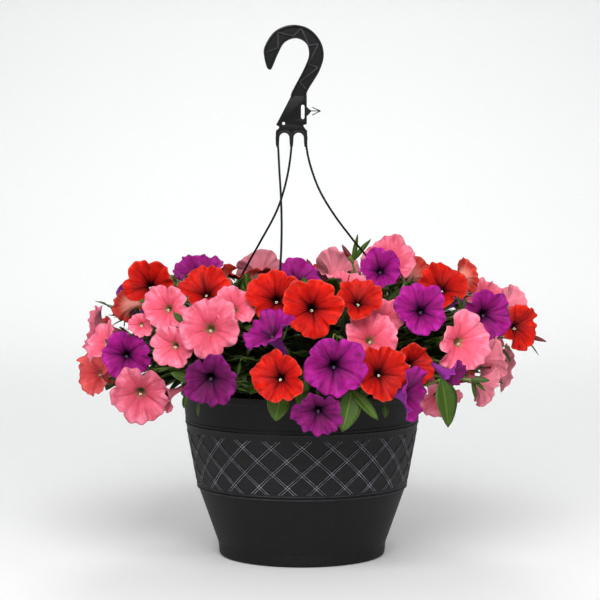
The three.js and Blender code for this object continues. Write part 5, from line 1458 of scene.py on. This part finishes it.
def add_calyx(shape, bloom):
    """The green calyx behind a bloom: a short flared cup and five narrow sepals beside the bloom's tube."""
    seat = bloom.tube_end(CLEARANCE)
    neck = seat - bloom.forward * CALYX_LENGTH
    cup = [1.2, 1.6, 2.4, 3.1, 3.5, 3.4]
    shape.add(tube(np.linspace(neck, seat + bloom.forward * 1.5, len(cup)), cup, 10), STEM)
    angle = TURN / PETAL_COUNT * (np.arange(PETAL_COUNT) + 0.5)[:, None]
    outward = bloom.right * np.cos(angle) + bloom.up * np.sin(angle)
    root = seat - bloom.forward * 2.5 + outward * 2.2
    along = unit(bloom.forward + outward * mix(0.25, 0.5, bloom.phase))
    length = mix(0.5, 0.62, bloom.phase) * bloom.radius
    grid, chart = blades(root, along, outward, length, 3.6, -0.15, 0.0, 6, 3, 0.0)
    shape.add(grid, LEAF, chart, tint=0.75, shade=0.0)


def add_bud(shape, root, tip):
    """A closed bud, a spindle whose radius swells and shrinks, in a green cup."""
    share = np.linspace(0, 1, 12)
    path = mix(root, tip, share[:, None])
    swell = np.interp(share, [0, 0.2, 0.5, 0.8, 1], [1.2, 2.0, 3.0, 2.1, 0.5])
    shape.add(tube(path, swell, 12), BUD)
    shape.add(tube(path[:5], swell[:5] + 0.35, 10), STEM)


def sunk_root(point, tip):
    """A root a little inside the twig's end, the way from it to the tip, and how far that is."""
    root = point - unit(tip - point) * TWIG_SINK
    return root, unit(tip - root), np.linalg.norm(tip - root)


def add_twig(shape, twig, shoot, corners):
    """A twig's stalk, its narrow leaves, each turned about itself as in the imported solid, and its bud."""
    point, leaves, bud = twig
    lift = np.array([0.0, 0.0, POT_HEIGHT])
    point = point + lift
    shape.add(tube(twig_stalk(point, shoot, corners), STALK_RADIUS, 8), STEM)
    outward = unit(np.array([point[0], point[1], 0.4 * DOME_RADIUS]))
    # painted shade: leaves further out to the sides are darker
    tint = mix(0.8, -0.3, abs(point[0]) / DOME_RADIUS)  # darker towards the sides
    for tip, wide in leaves:
        root, along, length = sunk_root(point, tip + lift)
        faces = [turned_round(outward, along, math.radians(turn)) for turn in (0, 40, -40, 80)]
        misses = [gaps_to(corners, plain_bract(root, along, face, length, wide)).max() for face in faces]
        grid, chart = blades(root, along, faces[int(np.argmin(misses))], length, wide, 0.08, 0.06, wavy=0.03)
        shape.add(grid, LEAF, chart, tint=tint, shade=0.0)
    if bud:
        root, _, _ = sunk_root(point, bud + lift)
        add_bud(shape, root, bud + lift)


def turned_round(vector, axis, angle):
    """The vector turned about an axis of length 1."""
    return (vector * math.cos(angle) + np.cross(axis, vector) * math.sin(angle)
            + axis * (axis @ vector) * (1 - math.cos(angle)))


def plain_bract(root, along, face, length, wide):
    """The two outer corners of a plain twig leaf, a little before its middle."""
    side = unit(np.cross(face, along))
    top = np.cross(along, side)
    share, half = 0.35, 0.45 * wide
    rib = root + along * share * length - top * 0.08 * length * share ** 2
    return rib + side * half * np.array([[1], [-1]]) + top * 0.25 * half


def shoot_finishes(sizes):
    """The leaves', the stems', the crown's heart's, whose dark colour is painted shade, and the buds'
    finishes.
    """
    return [
        leaf_finish("leaves", tuple(sizes.leaf), linear(116, 144, 52), linear(140, 162, 72)),
        plain_finish("stems", linear(104, 128, 52), 0.6, (1.2, 0.3, 0.3)),
        # painted shade: the crown's dark heart
        plain_finish("crown_heart", linear(16, 26, 10), 0.9, (4, 0.8, 2)),
        plain_finish("buds", linear(112, 22, 30), 0.6, (1.2, 0.3, 0.3)),
    ]


def make_shoots(sizes, blooms):
    """One piece for each shoot: its stem, its crown's heart and leaves, its sprigs, the stalks and calyces of
    its blooms, and its twigs."""
    finishes = shoot_finishes(sizes)
    for k in range(SHOOTS):
        node = f"shoot_{k + 1}"
        corners = solid_points(node)
        shape = Shape()
        rise = np.linspace(STEM_ROOT, POT_HEIGHT + CORE_LOW + 12, 12)
        shape.add(tube(polar(STEM_CIRCLE, sum(sector(k)) / 2, rise), STEM_RADIUS, 16), STEM)
        add_crown_heart(shape, k)
        add_plain_leaves(shape, k, corners)
        add_crown_leaves(shape, k, blooms, sizes.leaves_each)
        add_sprigs(shape, k, blooms, sizes.sprigs_each)
        for bloom in [b for b in blooms if shoot_of(b.tube_end(CALYX_LENGTH)) == k]:
            shape.add(tube(bloom_stalk(bloom, k, corners), STALK_RADIUS, 8), STEM)
            add_calyx(shape, bloom)
        for twig in [t for t in TWIGS if shoot_of(t[0]) == k]:
            add_twig(shape, twig, k, corners)
        shape.make(f"{node}_foliage", finishes, node)


# Stage


def make_camera():
    """The camera stands in front, level with the hanger's prongs, and looks a little down at the blooms."""
    data = bpy.data.cameras.new("camera")
    data.sensor_width = SENSOR_WIDTH
    data.lens = LENS
    data.clip_end = 50
    camera = placed("camera", data)
    camera.location = [value * MM for value in CAMERA_PLACE]
    camera.rotation_euler = (math.radians(90 - CAMERA_DIP), 0, 0)
    bpy.context.scene.camera = camera


def make_light(name, place, target, size, power):
    """A square light that points at its target; places in metres."""
    data = bpy.data.lights.new(name, "AREA")
    data.size = size
    data.energy = power
    light = placed(name, data)
    light.location = place
    x, y, z = np.array(target, float) - place
    light.rotation_euler = (math.atan2(math.hypot(x, y), -z), 0, math.atan2(y, x) - math.pi / 2)


def make_sweep(color):
    """The floor, which curves up into a backdrop: a profile of depth and height carried across."""
    depth, height = rounded(SWEEP, 3).T[:, :, None]
    across = np.linspace(-SWEEP_HALF_WIDTH, SWEEP_HALF_WIDTH, 33)
    points = np.stack(np.broadcast_arrays(across, depth, height - SWEEP_DROP), axis=-1) * MM
    faces = quads(np.arange(points[..., 0].size).reshape(points.shape[:-1]))
    mesh = bpy.data.meshes.new("sweep")
    mesh.from_pydata(points.reshape(-1, 3), [], faces)
    mesh.shade_smooth()
    mesh.materials.append(plain_finish("sweep_paper", color, 0.85))
    placed("sweep", mesh)


def make_world(strength):
    """An even white light from all around."""
    world = bpy.data.worlds.new("studio")
    world.use_nodes = True
    background = world.node_tree.nodes["Background"]
    background.inputs["Color"].default_value = (1, 1, 1, 1)
    background.inputs["Strength"].default_value = strength
    bpy.context.scene.world = world


def make_stage(sizes):
    """The camera, the sweep, a main light above the camera and one that brightens the backdrop."""
    make_camera()
    make_sweep(tuple(sizes.paper))
    make_light("key_light", *KEY_LIGHT, sizes.key_power)
    make_light("back_light", *BACK_LIGHT, sizes.key_power * sizes.back_share)
    make_world(sizes.fill)
    bpy.context.scene.view_settings.view_transform = "Standard"


# Add-on


def color_property(name, description, *levels):
    """A colour setting, with its default as three levels of 0 to 255 on a screen."""
    return bpy.props.FloatVectorProperty(name=name, description=description, default=linear(*levels),
                                         subtype="COLOR", size=3, min=0, max=1)


def length_property(name, description, default, low, high):
    """A length setting in metres, from millimetres."""
    return bpy.props.FloatProperty(name=name, description=description, default=default * MM, min=low * MM,
                                   max=high * MM, unit="LENGTH", precision=5)


def share_property(name, description, default, most):
    """A setting that is a share of something."""
    return bpy.props.FloatProperty(name=name, description=description, default=default, min=0, max=most,
                                   subtype="FACTOR")


def count_property(name, description, default):
    """A setting that is a number of things, 200 at most."""
    return bpy.props.IntProperty(name=name, description=description, default=default, min=0, max=200)


class BasketSizes(bpy.types.PropertyGroup):
    """The sizes and colours that a user may change."""

    rib_height: length_property("Rib height", "How far the quilted band's ridges stand out", 0.8, 0, 0.8)
    cord_pitch: length_property("Cord pitch", "Length between two strands of the hanger's arms", 3, 1, 20)
    ruffle: share_property("Ruffle", "Depth of the petals' ruffles, as a share of the radius", 0.082, 0.15)
    leaves_each: count_property("Leaves tried", "Half the leaves tried on each shoot's crown", 110)
    sprigs_each: count_property("Sprigs tried", "Young stems tried on each shoot", 40)
    pot_color: color_property("Pot", "Colour of the pot's plastic", 24, 24, 26)
    hanger_color: color_property("Hanger", "Colour of the hanger's plastic", 8, 8, 9)
    soil_color: color_property("Soil", "Colour of the potting soil", 46, 32, 22)
    leaf: color_property("Leaf", "Colour of the leaves", 62, 91, 20)
    red: color_property("Red", "Colour of the red petals", 196, 15, 7)
    purple: color_property("Purple", "Colour of the purple petals", 156, 15, 119)
    pink: color_property("Pink", "Colour of the pink petals", 236, 98, 124)
    coral: color_property("Coral", "Colour of the coral petals", 232, 82, 84)
    paper: color_property("Paper", "Colour of the floor and the backdrop", 247, 248, 248)
    key_power: bpy.props.FloatProperty(name="Key light", description="Power of the main light", default=58,
                                       min=0, unit="POWER")
    back_share: share_property("Back light", "Power of the backdrop's light, as a share of the key's", 1.1, 4)
    fill: share_property("Fill light", "Strength of the even light from all around", 0.3, 2)


class BASKET_OT_stage(bpy.types.Operator):
    """Makes the floor, the backdrop, the lights and the camera"""

    bl_idname = "basket.make_stage"
    bl_label = "Stage"

    def execute(self, context):
        make_stage(context.scene.basket_sizes)
        return {"FINISHED"}


class BASKET_OT_pot(bpy.types.Operator):
    """Makes the pot with its quilted band, ears and drain holes"""

    bl_idname = "basket.make_pot"
    bl_label = "Pot"

    def execute(self, context):
        make_pot(context.scene.basket_sizes)
        return {"FINISHED"}


class BASKET_OT_soil(bpy.types.Operator):
    """Makes the potting soil"""

    bl_idname = "basket.make_soil"
    bl_label = "Soil"

    def execute(self, context):
        make_soil(context.scene.basket_sizes)
        return {"FINISHED"}


class BASKET_OT_hanger(bpy.types.Operator):
    """Makes the hook, its neck, the three twisted arms and their beads"""

    bl_idname = "basket.make_hanger"
    bl_label = "Hanger"

    def execute(self, context):
        make_hanger(context.scene.basket_sizes)
        return {"FINISHED"}


class BASKET_OT_blooms(bpy.types.Operator):
    """Makes every bloom with its grains of pollen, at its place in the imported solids"""

    bl_idname = "basket.make_blooms"
    bl_label = "Blooms"

    def execute(self, context):
        make_blooms(context.scene.basket_sizes, planned_blooms())
        return {"FINISHED"}


class BASKET_OT_shoots(bpy.types.Operator):
    """Makes the six shoots: stems, stalks, calyces, leaves, twigs and buds"""

    bl_idname = "basket.make_shoots"
    bl_label = "Shoots"

    def execute(self, context):
        make_shoots(context.scene.basket_sizes, planned_blooms())
        return {"FINISHED"}


MAKERS = (BASKET_OT_stage, BASKET_OT_pot, BASKET_OT_soil, BASKET_OT_hanger, BASKET_OT_blooms,
          BASKET_OT_shoots)


class BASKET_PT_panel(bpy.types.Panel):
    """Lists the settings and the makers"""

    bl_idname = "BASKET_PT_panel"
    bl_label = "Petunia Hanging Basket"
    bl_space_type = "VIEW_3D"
    bl_region_type = "UI"
    bl_category = "Basket"

    def draw(self, context):
        """A line for each setting and a button for each maker."""
        sizes = context.scene.basket_sizes
        for name in BasketSizes.__annotations__:
            self.layout.prop(sizes, name)
        for maker in MAKERS:
            self.layout.operator(maker.bl_idname)


CLASSES = (BasketSizes, *MAKERS, BASKET_PT_panel)


def register():
    """Adds the classes, and their settings to the scene."""
    for kind in CLASSES:
        bpy.utils.register_class(kind)
    bpy.types.Scene.basket_sizes = bpy.props.PointerProperty(type=BasketSizes)


def unregister():
    """Takes them away again."""
    del bpy.types.Scene.basket_sizes
    for kind in reversed(CLASSES):
        bpy.utils.unregister_class(kind)


def main():
    """Makes every piece."""
    register()
    bpy.ops.basket.make_stage()
    bpy.ops.basket.make_pot()
    bpy.ops.basket.make_soil()
    bpy.ops.basket.make_hanger()
    bpy.ops.basket.make_blooms()
    bpy.ops.basket.make_shoots()
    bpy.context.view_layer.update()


if __name__ == "__main__":
    main()
